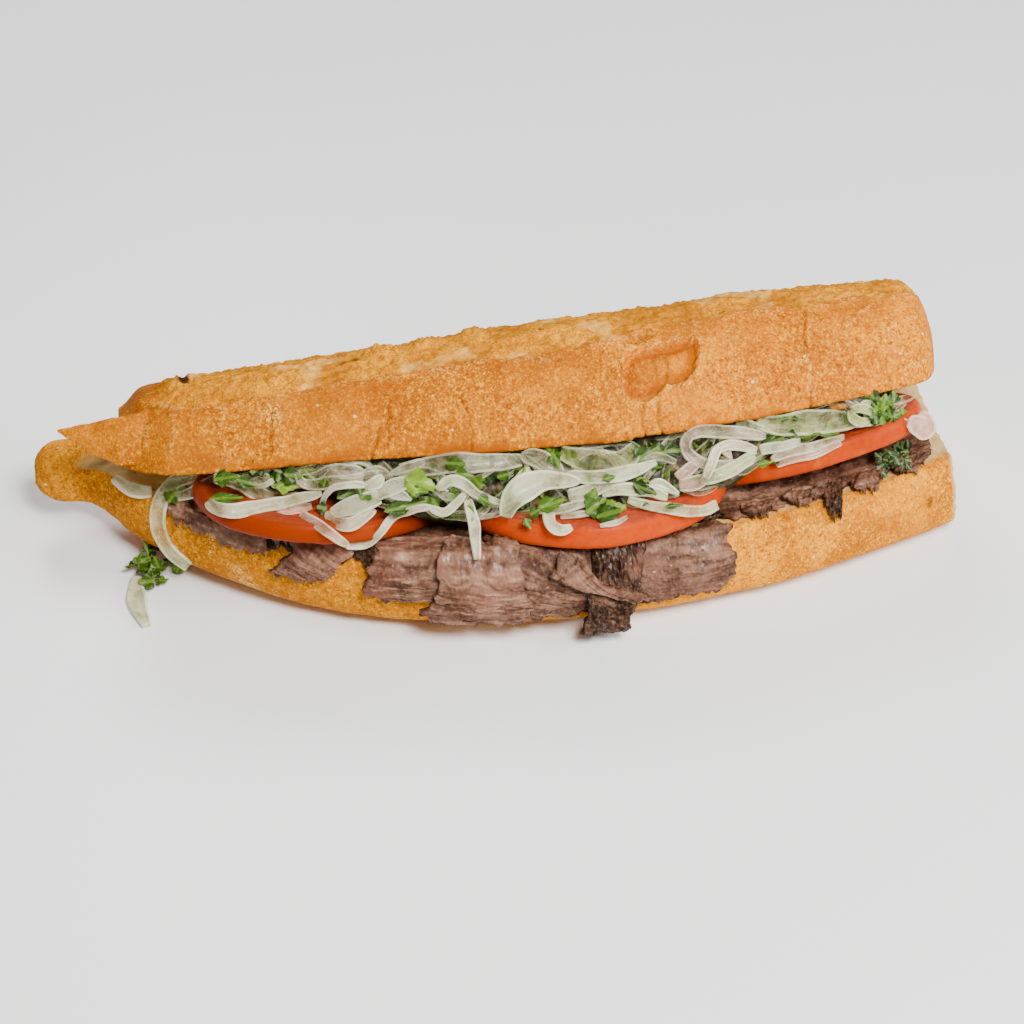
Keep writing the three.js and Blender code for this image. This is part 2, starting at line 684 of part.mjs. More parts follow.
// A flat lobed leaf, both faces split into the same triangles.
function leaf(radius, lobes, seed) {
  const around = 15;
  const rings = [0.45, 1];
  const height = (r, angle) => 0.12 * r * Math.sin(3 * angle + seed);
  const reach = (angle) => 0.62 + 0.38 * Math.abs(Math.cos((lobes * angle) / 2));
  const face = (z) => [new THREE.Vector3(0, 0, z)].concat(rings.flatMap((share) =>
    Array.from({ length: around }, (_, k) => {
      const angle = (k / around) * 2 * Math.PI;
      const r = radius * share * (share === 1 ? reach(angle) : 0.8);
      return new THREE.Vector3(r * Math.cos(angle), r * Math.sin(angle), z + height(r, angle));
    })));
  const points = [...face(0.35), ...face(-0.35)];
  const under = points.length / 2;
  const index = [];
  for (let k = 0; k < around; k++) {
    const next = (k + 1) % around;
    const [a, b, c, d] = [1 + k, 1 + next, 1 + around + k, 1 + around + next];
    for (const [p, q, r] of [[0, a, b], [a, c, d], [a, d, b]])
      index.push(p, q, r, under + p, under + r, under + q);
    index.push(c, under + c, under + d, c, under + d, d);
  }
  return geometryFrom(points, index);
}

// Each leaf's middle, size and the way it leans, in degrees.
const SPRIG_LEAVES = [
  { at: [-104.5, 20, 4.6], radius: 5.4, turn: [35, 0, 20] },
  { at: [-109.5, 17, 3.2], radius: 4.6, turn: [15, -18, 80] },
  { at: [-100.5, 16, 3.6], radius: 4.4, turn: [20, 18, 10] },
  { at: [-104, 11, 2.8], radius: 4.8, turn: [12, 5, 40] },
];

function parsleySprig() {
  const stem = new THREE.CatmullRomCurve3([
    new THREE.Vector3(-105, 25.5, 12.5),
    new THREE.Vector3(-105.5, 22.5, 8),
    new THREE.Vector3(-104.5, 18, 4),
    new THREE.Vector3(-103.8, 11, 2.8),
  ]);
  const ring = (i) => Array.from({ length: 6 }, (_, k) => {
    const angle = (k / 6) * 2 * Math.PI;
    const out = new THREE.Vector3(0.75 * Math.cos(angle), 0.45 * Math.sin(angle), 0.6 * Math.sin(angle));
    return stem.getPointAt(i / 7).add(out);
  });
  const parts = [solid(loft(Array.from({ length: 8 }, (_, i) => ring(i))))];
  for (const [i, { at, radius, turn }] of SPRIG_LEAVES.entries()) {
    const geometry = leaf(radius, 5, i * 2);
    geometry.rotateX(degToRad(turn[0]));
    geometry.rotateY(degToRad(turn[1]));
    geometry.rotateZ(degToRad(turn[2]));
    geometry.translate(...at);
    parts.push(solid(geometry));
  }
  return join(parts);
}

// A thick onion petal that fell out, flat on the table.
function fallenPetal() {
  const rings = [];
  const steps = 12;
  for (let i = 0; i <= steps; i++) {
    const u = i / steps;
    const half = 0.3 + 2.9 * Math.pow(Math.sin(Math.PI * clamp(u * 0.9 + 0.08, 0, 1)), 0.8);
    const bow = 1.4 * Math.sin(Math.PI * u);
    const middle = new THREE.Vector3(lerp(-108.5, -106.5, u) - bow, lerp(14.5, -7.5, u), 1.1);
    rings.push(Array.from({ length: 8 }, (_, k) => {
      const angle = (k / 8) * 2 * Math.PI;
      return middle.clone().add(new THREE.Vector3(half * Math.cos(angle), 0, 0.85 * Math.sin(angle)));
    }));
  }
  return solid(loft(rings));
}

// ---------------------------------------------------------------- build
const CRUST = new THREE.MeshStandardMaterial({ color: 0xd08a3c, roughness: 0.8 });
const MEAT = new THREE.MeshStandardMaterial({ color: 0x7d5a4e, roughness: 0.55 });
const TOMATO = new THREE.MeshStandardMaterial({ color: 0xd8431c, roughness: 0.3 });
const ONION = new THREE.MeshStandardMaterial({ color: 0xdfe3cf, roughness: 0.35 });
const HERB = new THREE.MeshStandardMaterial({ color: 0x4f8a1f, roughness: 0.5 });

const sandwich = new THREE.Group();
const taken = [];

// Pieces are added from the firmest to the softest; each keeps clear of those before it.
function add(name, manifold, material) {
  const cut = taken.reduce((left, neighbour) => left.subtract(neighbour), manifold);
  const made = largest(largest(cut).asOriginal().simplify(SIMPLIFY));
  taken.push(grown(manifold));
  const mesh = new THREE.Mesh(unslivered(unpinched(geometryOf(made))), material);
  mesh.name = name;
  sandwich.add(mesh);
}

add("bread_lower_half", lowerHalf(), CRUST);
add("bread_upper_half", upperHalf(), CRUST);
for (const slice of TOMATOES) add(`tomato_slice_${slice.name}`, tomato(slice), TOMATO);
for (const slice of SHAVINGS) add(`meat_shaving_${slice.name}`, shaving(slice), MEAT);
add("meat_layer", meatLayer(), MEAT);
add("onion_strip_hanging", hangingOnion(), ONION);
add("parsley_sprig", parsleySprig(), HERB);
add("onion_petal_fallen", fallenPetal(), ONION);
add("onion_salad", onionSalad(), ONION);

export default sandwich;
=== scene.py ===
"""A doner kebab sandwich: half a baguette, slit along its front and filled with shaved meat,
tomato slices, and sliced onion with parsley. Shapes are worked out in millimetres, in the
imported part's frame (+X to the cut end, -Y the open front, +Z up), and put down in metres.
"""
import math

import bpy
import numpy as np
from mathutils import Matrix, Vector, noise


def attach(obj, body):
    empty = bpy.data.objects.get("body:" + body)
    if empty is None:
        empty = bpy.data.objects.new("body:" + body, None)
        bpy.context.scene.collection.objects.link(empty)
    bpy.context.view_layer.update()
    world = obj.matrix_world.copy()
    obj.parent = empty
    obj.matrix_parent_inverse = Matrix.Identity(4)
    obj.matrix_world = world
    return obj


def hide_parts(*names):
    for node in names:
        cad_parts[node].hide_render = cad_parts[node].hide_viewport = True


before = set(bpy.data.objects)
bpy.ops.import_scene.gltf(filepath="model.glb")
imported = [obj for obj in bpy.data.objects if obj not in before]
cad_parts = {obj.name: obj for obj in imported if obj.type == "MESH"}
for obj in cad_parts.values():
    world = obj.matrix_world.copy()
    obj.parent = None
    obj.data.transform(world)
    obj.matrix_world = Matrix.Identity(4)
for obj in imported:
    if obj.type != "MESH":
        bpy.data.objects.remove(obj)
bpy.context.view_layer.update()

# ---------------------------------------------------------------- the view
# The camera looks down at the front of the sandwich from a little to its left, as in the
# photograph. A big soft lamp above the front and weaker ones at the right and behind light it,
# under an even white sky.
AZIMUTH = math.radians(-8)
ELEVATION = math.radians(39)
DISTANCE = 0.8
AIM = Vector((0, 0, 0.025))
LENS = 98
SENSOR = 36

camera = bpy.data.objects.new("camera", bpy.data.cameras.new("camera"))
bpy.context.scene.collection.objects.link(camera)
camera.data.lens = LENS
camera.data.sensor_width = SENSOR
backwards = Vector((
    math.sin(AZIMUTH) * math.cos(ELEVATION),
    -math.cos(AZIMUTH) * math.cos(ELEVATION),
    math.sin(ELEVATION),
))
camera.location = AIM + DISTANCE * backwards
camera.rotation_euler = backwards.to_track_quat("Z", "Y").to_euler()
camera.data.clip_start = 0.01
bpy.context.scene.camera = camera


def add_lamp(name, place, size, power, tint):
    lamp = bpy.data.objects.new(name, bpy.data.lights.new(name, "AREA"))
    bpy.context.scene.collection.objects.link(lamp)
    lamp.data.shape = "DISK"
    lamp.data.size = size
    lamp.data.energy = power
    lamp.data.color = tint
    lamp.location = place
    lamp.rotation_euler = (lamp.location - AIM).to_track_quat("Z", "Y").to_euler()


add_lamp("key_lamp", Vector((0.22, -0.7, 1.0)), 0.4, 27, (1, 0.98, 0.95))
add_lamp("side_lamp", Vector((0.9, -0.45, 0.6)), 0.5, 11, (0.96, 0.98, 1))
add_lamp("back_lamp", Vector((-0.1, 0.9, 0.8)), 0.5, 6, (1, 1, 1))

sky = bpy.data.worlds.new("sky")
sky.use_nodes = True
sky.node_tree.nodes["Background"].inputs["Color"].default_value = (0.95, 0.975, 1, 1)
sky.node_tree.nodes["Background"].inputs["Strength"].default_value = 0.22
bpy.context.scene.world = sky


# ---------------------------------------------------------------- the floor
# A plain pale table top, far wider than the view, a little glossy.
class Shade:
    """A socket of a shader tree, with the sums of shader maths written as Python sums."""

    def __init__(self, tree, socket=None):
        self.tree = tree
        self.socket = socket

    def node(self, kind, settings=None, sockets=None, output=0):
        made = self.tree.nodes.new(kind)
        for name, value in (settings or {}).items():
            setattr(made, name, value)
        for name, value in (sockets or {}).items():
            if isinstance(value, Shade):
                self.tree.links.new(value.socket, made.inputs[name])
            else:
                made.inputs[name].default_value = value
        return Shade(self.tree, made.outputs[output])

    def math(self, operation, *values):
        sockets = dict(enumerate(values))
        return self.node("ShaderNodeMath", {"operation": operation}, sockets)

    def __add__(self, other):
        return self.math("ADD", self, other)

    def __sub__(self, other):
        return self.math("SUBTRACT", self, other)

    def __mul__(self, other):
        return self.math("MULTIPLY", self, other)

    def __rsub__(self, other):
        return self.math("SUBTRACT", other, self)

    __radd__ = __add__
    __rmul__ = __mul__

    def between(self, low, high):
        """0 below low, 1 above high, smooth between; falls where high is below low."""
        sockets = {"Value": self, 1: low, 2: high}
        return self.node("ShaderNodeMapRange", {"interpolation_type": "SMOOTHSTEP"}, sockets)

    def mix(self, first, second):
        """This value's mix of two colours."""
        sockets = {0: self}
        for name, colour in ((6, first), (7, second)):
            sockets[name] = colour if isinstance(colour, Shade) else (*colour, 1)
        return self.node("ShaderNodeMix", {"data_type": "RGBA"}, sockets, 2)

    def noise(self, size, detail=3.0, seed=0.0, rough=0.5):
        """Cloudy noise of that size in metres."""
        sockets = {"Vector": self, "W": seed, "Scale": 1 / size, "Detail": detail, "Roughness": rough}
        return self.node("ShaderNodeTexNoise", {"noise_dimensions": "4D"}, sockets)

    def cells(self, size, seed=0.0):
        """Distance from the nearest of scattered points, spaced at that size in metres."""
        sockets = {"Vector": self, "W": seed, "Scale": 1 / size}
        return self.node("ShaderNodeTexVoronoi", {"voronoi_dimensions": "4D"}, sockets)

    def attribute(self, name):
        return self.node("ShaderNodeAttribute", {"attribute_name": name}, output=2)

    def bump(self, strength, distance):
        sockets = {"Height": self, "Strength": strength, "Distance": distance}
        return self.node("ShaderNodeBump", None, sockets)


def new_material(name, constants):
    """A material, its Object coordinates, and a function that links shades to its shader."""
    material = bpy.data.materials.new(name)
    material.use_nodes = True
    tree = material.node_tree
    shader = tree.nodes["Principled BSDF"]
    for socket, value in constants.items():
        shader.inputs[socket].default_value = value

    def finish(links):
        for socket, shade in links.items():
            tree.links.new(shade.socket, shader.inputs[socket])
        return material

    coordinates = Shade(tree).node("ShaderNodeTexCoord", output=3)
    return coordinates, finish


at, finish = new_material("table_top", {"Roughness": 0.32, "Specular IOR Level": 0.35})
cloud = at.noise(0.12, 3)
table_top = finish({
    "Base Color": cloud.mix((0.92, 0.925, 0.93), (0.95, 0.955, 0.96)),
    "Normal": at.noise(0.004, 2).bump(0.03, 0.0002),
})

bpy.ops.mesh.primitive_grid_add(x_subdivisions=2, y_subdivisions=2, size=8)
floor = bpy.context.object
floor.name = "floor"
floor.data.materials.append(table_top)

# ---------------------------------------------------------------- the loaf's lower half
# The lower half of the baguette with its own rounded heel at the left: a thin baked crust round
# white crumb. The knife left a torn edge along the front, and the filling pressed the crumb in.
HEEL_TIP_X = -136.5
LOWER_END_X = 132
LIP_Z = 26
BACK_RISE = 2
BELLY_X = 15
BELLY_Y = -27.5
RECEDE = 29
HEEL_RECEDE = 40
BACK_Y = 48
HEEL_Y = 38.5
HEEL_RISE = 10.5
CRUMB_DIP = 3.5
HEEL_BORDER_X = (-127, -121)
HEEL_SLANT = 9
MM = 0.001


def lerp(a, b, share):
    return a + (b - a) * share


def smooth(value, low, high):
    share = np.clip((value - low) / (high - low), 0, 1)
    return share * share * (3 - 2 * share)


def superellipse(value, power):
    return np.maximum(0, 1 - np.abs(value) ** power) ** (1 / power)


def lower_shape(x):
    """The section of the lower half at x: its middle, half width and heights."""
    bow = ((x - BELLY_X) / 119) ** 2
    heel = lerp(BELLY_Y + HEEL_RECEDE * bow + 6 * bow**3, HEEL_Y, smooth(-x, 108, 128))
    front = np.where(x > BELLY_X, BELLY_Y + RECEDE * bow, heel)
    back = BACK_Y + np.where(x > -20, 14, 7) * ((x + 20) / 130) ** 2
    round_off = superellipse(np.clip((HEEL_TIP_X + 10 - x) / 10.2, 0, 1), 2.2)
    rise = HEEL_RISE * (np.maximum(0, -50 - x) / 80) ** 1.4
    rest = lerp(17, rise, round_off)
    lip = lerp(18, LIP_Z - 4 * smooth(-x, 108, 126), round_off)
    return {
        "middle": (front + back) / 2,
        "width": (back - front) / 2 * round_off,
        "round": round_off,
        "rest": rest,
        "lip": lip,
        "waist": lerp(rest, lip, 0.42),
        "back_lip": lip + BACK_RISE * round_off,
    }


def lower_girth(shape, z, spread=1.45):
    """Half width at height z as a share of the widest."""
    below = z < shape["waist"]
    foot = (shape["waist"] - shape["rest"]) * 1.03
    reach = np.where(below, foot, (shape["lip"] - shape["waist"]) * spread)
    height = (z - shape["waist"]) / np.maximum(reach, 1e-6)
    return np.where(below, superellipse(height, 2.9), superellipse(height, 2.5))


def hinge_of(shape):
    """How far back the upper half meets the lower one."""
    return shape["middle"] + lower_girth(shape, shape["back_lip"], 2.4) * shape["width"] + 0.6


def heel_share(x, across):
    """1 on the heel's rounded crust, 0 on the cut face; their border runs slantwise."""
    slant = HEEL_SLANT * (across + 1)
    return 1 - smooth(x, HEEL_BORDER_X[0] + slant, HEEL_BORDER_X[1] + slant)


def lower_cut(x, across):
    """Height of the cut face; across runs from -1 at the front to 1 at the back."""
    shape = lower_shape(x)
    hollow = CRUMB_DIP * (1 - across**2) * smooth(x, -112, -85)
    arch = np.sqrt(np.maximum(0, 1 - across**2))
    crown = (4.5 * shape["round"] + 0.5) * arch * heel_share(x, across)
    return shape["lip"] - hollow + crown + BACK_RISE * smooth(across, 0.3, 1) * shape["round"]


def fractal(points, size, seed=0, octaves=4):
    """Cloudy noise of that size in mm, about -1 to 1, at every point."""
    shift = Vector((seed * 17.3, seed * 5.1, seed * 9.7))
    flat = points.reshape(-1, 3) / size
    values = [noise.fractal(Vector(point) + shift, 0.9, 2.1, octaves) for point in flat]
    return np.array(values).reshape(points.shape[:-1])


def ring_places(low, high, count, crowding):
    """Places for the rings of a skin, crowded toward both ends."""
    steps = np.linspace(0, 1, count)
    return lerp(low, high, lerp(steps, 0.5 - 0.5 * np.cos(np.pi * steps), crowding))[:, None]


def pad(values):
    """The values of a skin's rings in one row, followed by those of its two caps."""
    caps = values[0].mean(keepdims=True), values[-1].mean(keepdims=True)
    return np.concatenate([values.ravel(), *caps])


def closed_skin(rings):
    """Points and faces of a skin through closed rings, with a cap of triangles at either end."""
    rows, columns = rings.shape[:2]
    points = rings.reshape(-1, 3)
    row, column = np.meshgrid(np.arange(rows - 1), np.arange(columns), indexing="ij")
    here = row * columns + column
    beside = row * columns + (column + 1) % columns
    faces = np.stack([here, here + columns, beside + columns, beside], -1).reshape(-1, 4).tolist()
    first, last = len(points), len(points) + 1
    points = np.vstack([points, rings[0].mean(0), rings[-1].mean(0)])
    for k in range(columns):
        after = (k + 1) % columns
        faces.append([first, k, after])
        faces.append([last, (rows - 1) * columns + after, (rows - 1) * columns + k])
    return points, faces


def new_mesh(name, points, faces, values=None):
    """A mesh from points in mm, with a float attribute for each named value of its points."""
    mesh = bpy.data.meshes.new(name)
    mesh.from_pydata((np.asarray(points) * MM).tolist(), [], faces)
    for label, value in (values or {}).items():
        layer = mesh.attributes.new(label, "FLOAT", "POINT")
        layer.data.foreach_set("value", np.asarray(value, np.float32).ravel())
    mesh.shade_smooth()
    return mesh


def point_normals(mesh):
    flat = np.zeros(len(mesh.vertices) * 3)
    mesh.vertices.foreach_get("normal", flat)
    return flat.reshape(-1, 3)


def raise_points(mesh, height):
    """Moves every point of the mesh out along its normal by its height in mm."""
    flat = np.zeros(len(mesh.vertices) * 3)
    mesh.vertices.foreach_get("co", flat)
    moved = flat.reshape(-1, 3) + point_normals(mesh) * np.asarray(height)[:, None] * MM
    mesh.vertices.foreach_set("co", moved.ravel())
    mesh.update()


def add_piece(name, mesh, material, node=None):
    """Puts a finished mesh on the part's body, in place of the node that it stands for."""
    piece = bpy.data.objects.new(name, mesh)
    bpy.context.scene.collection.objects.link(piece)
    if material:
        mesh.materials.append(material)
    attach(piece, "root")
    if node:
        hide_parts(node)
    return piece


# Baked crust: golden to orange brown and finely grained, paler and sandy where flour stuck to
# it, darker at the left as painted shade, with white crumb and pores where the bread was cut or
# torn open. Painted shade also darkens the pores, the foot of the lower half at the left, and the
# creases and torn hollow of the upper half.
def bread_material(name, deep, golden, pale):
    at, finish = new_material(name, {"Specular IOR Level": 0.03})
    crumb = at.attribute("crumb")
    strip = at.attribute("strip")
    scorch_and_shade = at.attribute("scorch_and_shade")
    flour = at.attribute("flour")
    browning_and_shade = at.attribute("browning_and_shade")
    east = at.node("ShaderNodeSeparateXYZ", None, {0: at})
    painted_left_shade = east.between(0.08, -0.09) * east.between(-0.13, -0.1)
    warm = at.noise(0.034, 3, seed=1)
    patch = at.noise(0.011, 3, seed=2)
    mottle = at.noise(0.0013, 3, seed=3, rough=0.6)
    grit = at.noise(0.0006, 2, seed=4, rough=0.6)
    grain = mottle * 0.45 + grit * 0.55
    crust = (warm * 0.5 + patch * 0.5).between(0.4, 0.62).mix(deep, golden)
    # Painted shade: the crust is darkened toward the left of the loaf.
    crust = (painted_left_shade * 0.55).mix(crust, [0.66 * c for c in deep])
    crust = (at.noise(0.02, 3, seed=16).between(0.5, 0.66) * 0.45).mix(crust, [0.6 * c for c in deep])
    sand = at.cells(0.0011, 13).between(0.36, 0.14) * at.noise(0.007, 3, seed=14).between(0.4, 0.6)
    crust = (sand * 0.5).mix(crust, pale)
    rough = at.noise(0.024, 2, seed=17).between(0.36, 0.6) * 0.4 + 0.6
    crust = (grain.between(0.5, 0.62) * rough * 0.75).mix(crust, pale)
    crust = (grain.between(0.49, 0.38) * rough * 0.85).mix(crust, [0.42 * c for c in deep])
    speck = at.cells(0.0036, 5).between(0.17, 0.08) * at.noise(0.012, 2, seed=6).between(0.42, 0.56)
    crust = (speck * 0.8).mix(crust, (0.98, 0.72, 0.38))
    # Browning darkens the crust, and so does painted shade where the mask carries it.
    crust = (browning_and_shade * (1.2 - grain * 0.6)).mix(crust, (0.34, 0.075, 0.0))
    crust = (flour * grit.between(0.4, 0.62)).mix(crust, (0.95, 0.56, 0.14))
    burst = at.noise(0.003, 4, seed=8, rough=0.65)
    torn = (burst * 0.45 + grit * 0.55).between(0.4, 0.6).mix((0.44, 0.138, 0.0), (0.84, 0.34, 0.004))
    torn = (at.noise(0.016, 3, seed=9).between(0.48, 0.66) * 0.6).mix(torn, (0.34, 0.1, 0.0))
    torn = (at.noise(0.012, 3, seed=15).between(0.55, 0.68) * 0.5).mix(torn, (0.95, 0.54, 0.13))
    crust = strip.mix(crust, torn)
    # Scorch marks, and painted shade in the upper half's creases and pocket, go near black.
    crust = scorch_and_shade.mix(crust, (0.045, 0.014, 0.006))
    # Painted shade: the crumb is darkened in its pores.
    pores = at.cells(0.0028, 10).between(0.34, 0.1) * at.noise(0.005, 2, seed=11).between(0.4, 0.56)
    inside = at.noise(0.012, 3, seed=12).mix((0.72, 0.5, 0.22), (0.5, 0.3, 0.1))
    inside = (pores * 0.6).mix(inside, (0.3, 0.18, 0.06))
    height = mottle * 0.5 + grit * (strip + 0.35) + burst * strip * 1.6 - pores * crumb * 1.5
    return finish({
        "Base Color": crumb.mix(crust, inside),
        "Roughness": mottle * 0.3 + 0.5 + strip * 0.1 + crumb * 0.1,
        "Normal": height.bump(0.5, 0.0004),
    })


lower_bread = bread_material("lower_bread", (0.56, 0.165, 0.0), (0.78, 0.28, 0.0), (0.96, 0.47, 0.02))

xs = ring_places(HEEL_TIP_X + 0.1, LOWER_END_X, 450, 0.3)
shape = lower_shape(xs)
wall = (np.linspace(1, 0, 62) ** 1.35)[None]
front_z = lerp(shape["rest"], shape["lip"], wall)
front = -lower_girth(shape, front_z)
base = np.linspace(-1, 1, 24)[None, 1:-1] * lower_girth(shape, shape["rest"])
back_z = lerp(shape["rest"], shape["back_lip"], wall[:, ::-1])
back = lower_girth(shape, back_z, 2.4)
face = np.linspace(1, -1, 56)[None, 1:-1]
back_share = lower_girth(shape, shape["back_lip"], 2.4)
face_share = np.where(face < 0, lower_girth(shape, shape["lip"]), back_share)
across = np.concatenate([front, base, back, face * face_share], 1)
rest_z = shape["rest"] + 0 * base
z = np.concatenate([front_z, rest_z, back_z, lower_cut(xs, face)], 1)
lean = 0.09 * (13 - z) * smooth(xs, 105, LOWER_END_X)
rings = np.stack([xs + lean, shape["middle"] + across * shape["width"], z], -1)

on_cut = np.zeros(rings.shape[:2])
on_cut[:, -face.shape[1]:] = (1 - heel_share(xs, face)) * smooth(face, -0.99, -0.86)
end_cut = smooth(rings[..., 0] - lean, 131.2, 131.8)
haze = fractal(rings, 13, 3, 3)
flour_foot = 0.6 * smooth(rings[..., 2], 9, 2) * smooth(haze, -0.3, 0.35)
# Painted shade: darker toward the left and the foot of the lower half; random browned patches besides.
browning_and_shade = 0.3 * smooth(-rings[..., 0], 30, 100) * smooth(rings[..., 2], 18, 5)
browning_and_shade = browning_and_shade + 0.2 * smooth(haze, 0.1, 0.5)
flour_left = smooth(-rings[..., 0], 58, 72) * smooth(rings[..., 0], -108, -92)
flour_left = flour_left * smooth(haze, -0.1, 0.4) * 0.8
heel_scorch = smooth(-rings[..., 0], 126, 134) * 0.28 * smooth(haze, -0.5, 0.5)
brown_mark = smooth(np.hypot(rings[..., 0] - 123.2, (rings[..., 2] - 17) / 1.6), 1.5, 0.7)
scorch_and_shade = np.maximum(heel_scorch, 0.6 * brown_mark * (rings[..., 1] < 20))
points, faces = closed_skin(rings)
values = {
    "crumb": pad(np.maximum(on_cut, end_cut)),
    "strip": pad(np.zeros_like(end_cut)),
    "scorch_and_shade": pad(scorch_and_shade),
    "flour": pad(np.maximum(flour_foot, flour_left)),
    "browning_and_shade": pad(browning_and_shade),
}
mesh = new_mesh("bread_lower", points, faces, values)
crumb = values["crumb"]
swell = 0.5 * fractal(points, 21, 1, 2) + 0.22 * fractal(points, 6, 2, 3)
grain = 0.1 * fractal(points, 1.7, 4, 3)
pits = 0.55 * fractal(points, 3.1, 5, 3)
raise_points(mesh, (swell + grain) * (1 - crumb) + (pits - 0.3) * crumb)
add_piece("bread_lower", mesh, lower_bread, "bread_lower_half")

# ---------------------------------------------------------------- the loaf's upper half
# The upper half, hinged up at the back by the filling. Its crust burst open along the top in
# the oven, split across near the middle with a hollow beside the split, and was torn at the left.
UPPER_LEFT_X = -109.5
UPPER_END_X = 131.5
DOME_WIDTH = 30
DOME_HEIGHT = 29.2
DOME_TILT = math.radians(24)
SEAM = 0.5
ARC = 92  # mm round the dome, from its front edge to the hinge

# Where the burst strip begins, as places along the loaf and shares of the way round.
STRIP_START_X = [-104, -97, -91, -78, -58, -13, 15, 28, 33, 40, 76, 104, 121, 130]
STRIP_START = [0.43, 0.34, 0.312, 0.284, 0.31, 0.311, 0.303, 0.318, 0.335, 0.372, 0.387, 0.394, 0.378, 0.4]
STRIP_END = 0.69

CRACK_X = 33
CRACK_STEP = 1.6
KNOBS = [(-34, 0.47), (-20, 0.5), (-7, 0.5), (-93, 0.5)]

# Outlines of the torn hollow beside the split and of the grey pocket above it, and the line of
# the split itself, as [x, share] places.
CRATER = [
    (31.7, 0.2), (31.6, 0.13), (34.8, 0.099), (38.8, 0.093), (41.9, 0.115), (44.2, 0.142), (46, 0.136),
    (49.7, 0.14), (53, 0.173), (55, 0.233), (54.6, 0.285), (51.5, 0.3), (47, 0.286), (41, 0.283),
    (37, 0.286), (33.6, 0.268),
]
POCKET = [(31.9, 0.337), (34.2, 0.308), (37.2, 0.296), (40.5, 0.31), (45, 0.345), (40, 0.37), (35.7, 0.352)]
SPLIT = [(31.6, 0.33), (31.3, 0.22), (31.2, 0.17), (31.4, 0.12), (32.3, 0.07), (33.3, 0)]

# Fine fissures in the crust and pale scars of the dough, each a line of [x, share] places.
FISSURES = [
    [(-34, 0.19), (-34.8, 0.106), (-34.4, 0.055)],
    [(-37, 0.1), (-39, 0.03), (-40, 0)],
    [(-13.6, 0.165), (-12, 0.11), (-11.6, 0.06), (-12.4, 0)],
    [(3.6, 0.03), (5, 0)],
    [(-66.4, 0.25), (-67, 0.15), (-67.3, 0.05)],
    [(88.6, 0.36), (86.6, 0.26), (85.4, 0.17)],
    [(86.8, 0.07), (86.2, 0)],
    [(37.4, 0.1), (36.2, 0.05), (37, 0)],
    [(44.4, 0.247), (45.2, 0.2), (44.2, 0.15)],
    [(40.9, 0.085), (41, 0.04), (41.5, 0)],
]
SCARS = [
    [(126, 0.3), (123, 0.255), (117, 0.237), (110, 0.217)],
    [(112, 0.066), (117, 0.06), (122, 0.065), (124, 0.085)],
    [(-95.5, 0.37), (-93.2, 0.24), (-95.2, 0.1)],
    [(-103, 0.3), (-102, 0.2), (-104, 0.08)],
    [(-80, 0.25), (-81.5, 0.14), (-80, 0.04)],
    [(84.6, 0.17), (86, 0.1), (86.4, 0.03)],
    [(109, 0.34), (103, 0.3), (100, 0.25)],
]


def dome_tilt(x):
    return DOME_TILT * lerp(0.83, 1, smooth(x, -115, -40))


def dome_ends(x):
    left = superellipse(np.clip((-82 - x) / 37, 0, 1), 2.5)
    return left * superellipse(np.clip((x - UPPER_END_X + 17) / 17.4, 0, 1), 2.8)


def dome_wide(x):
    return DOME_WIDTH * (1 - 0.0014 * np.maximum(0, 25 - x)) * dome_ends(x)


def dome_high(x):
    slimmer = 0.09 * np.maximum(0, 10 - x) + 0.1 * np.maximum(0, x - 70)
    return (DOME_HEIGHT - slimmer) * dome_ends(x)


def dome_place(x, along, out):
    """From the cut plane's own directions, along (front negative) and out, to the part's frame."""
    shape = lower_shape(x)
    back = along - dome_wide(x)
    cos, sin = np.cos(dome_tilt(x)), np.sin(dome_tilt(x))
    y = hinge_of(shape) + back * cos + out * sin
    z = shape["back_lip"] + SEAM - back * sin + out * cos
    return np.stack(np.broadcast_arrays(x, y, z), -1)


def line_distance(x, share, line):
    """Distance in mm, round the crust, from a line of [x, share] places."""
    nearest = np.full(x.shape, 1e3)
    for (x0, s0), (x1, s1) in zip(line, line[1:]):
        dx, ds = x1 - x0, (s1 - s0) * ARC
        along = ((x - x0) * dx + (share - s0) * ARC * ds) / (dx * dx + ds * ds)
        along = np.clip(along, 0, 1)
        nearest = np.minimum(nearest, np.hypot(x - x0 - along * dx, (share - s0) * ARC - along * ds))
    return nearest


def oval(x, share, spot):
    """1 in the middle of an oval of the dome's skin, 0 on its edge."""
    across = (x - spot["x"]) / spot["length"]
    return 1 - across**2 - ((share - spot["share"]) / spot["height"]) ** 2


def depth_in(x, share, outline):
    """Distance in mm inside a closed outline of [x, share] places, negative outside it."""
    inside = np.zeros(x.shape, bool)
    for (x0, s0), (x1, s1) in zip(outline, outline[1:] + outline[:1]):
        if s0 != s1:
            at_edge = x0 + (share - s0) * (x1 - x0) / (s1 - s0)
            inside ^= ((s0 > share) != (s1 > share)) & (x < at_edge)
    away = line_distance(x, share, outline + outline[:1])
    return np.where(inside, away, -away)


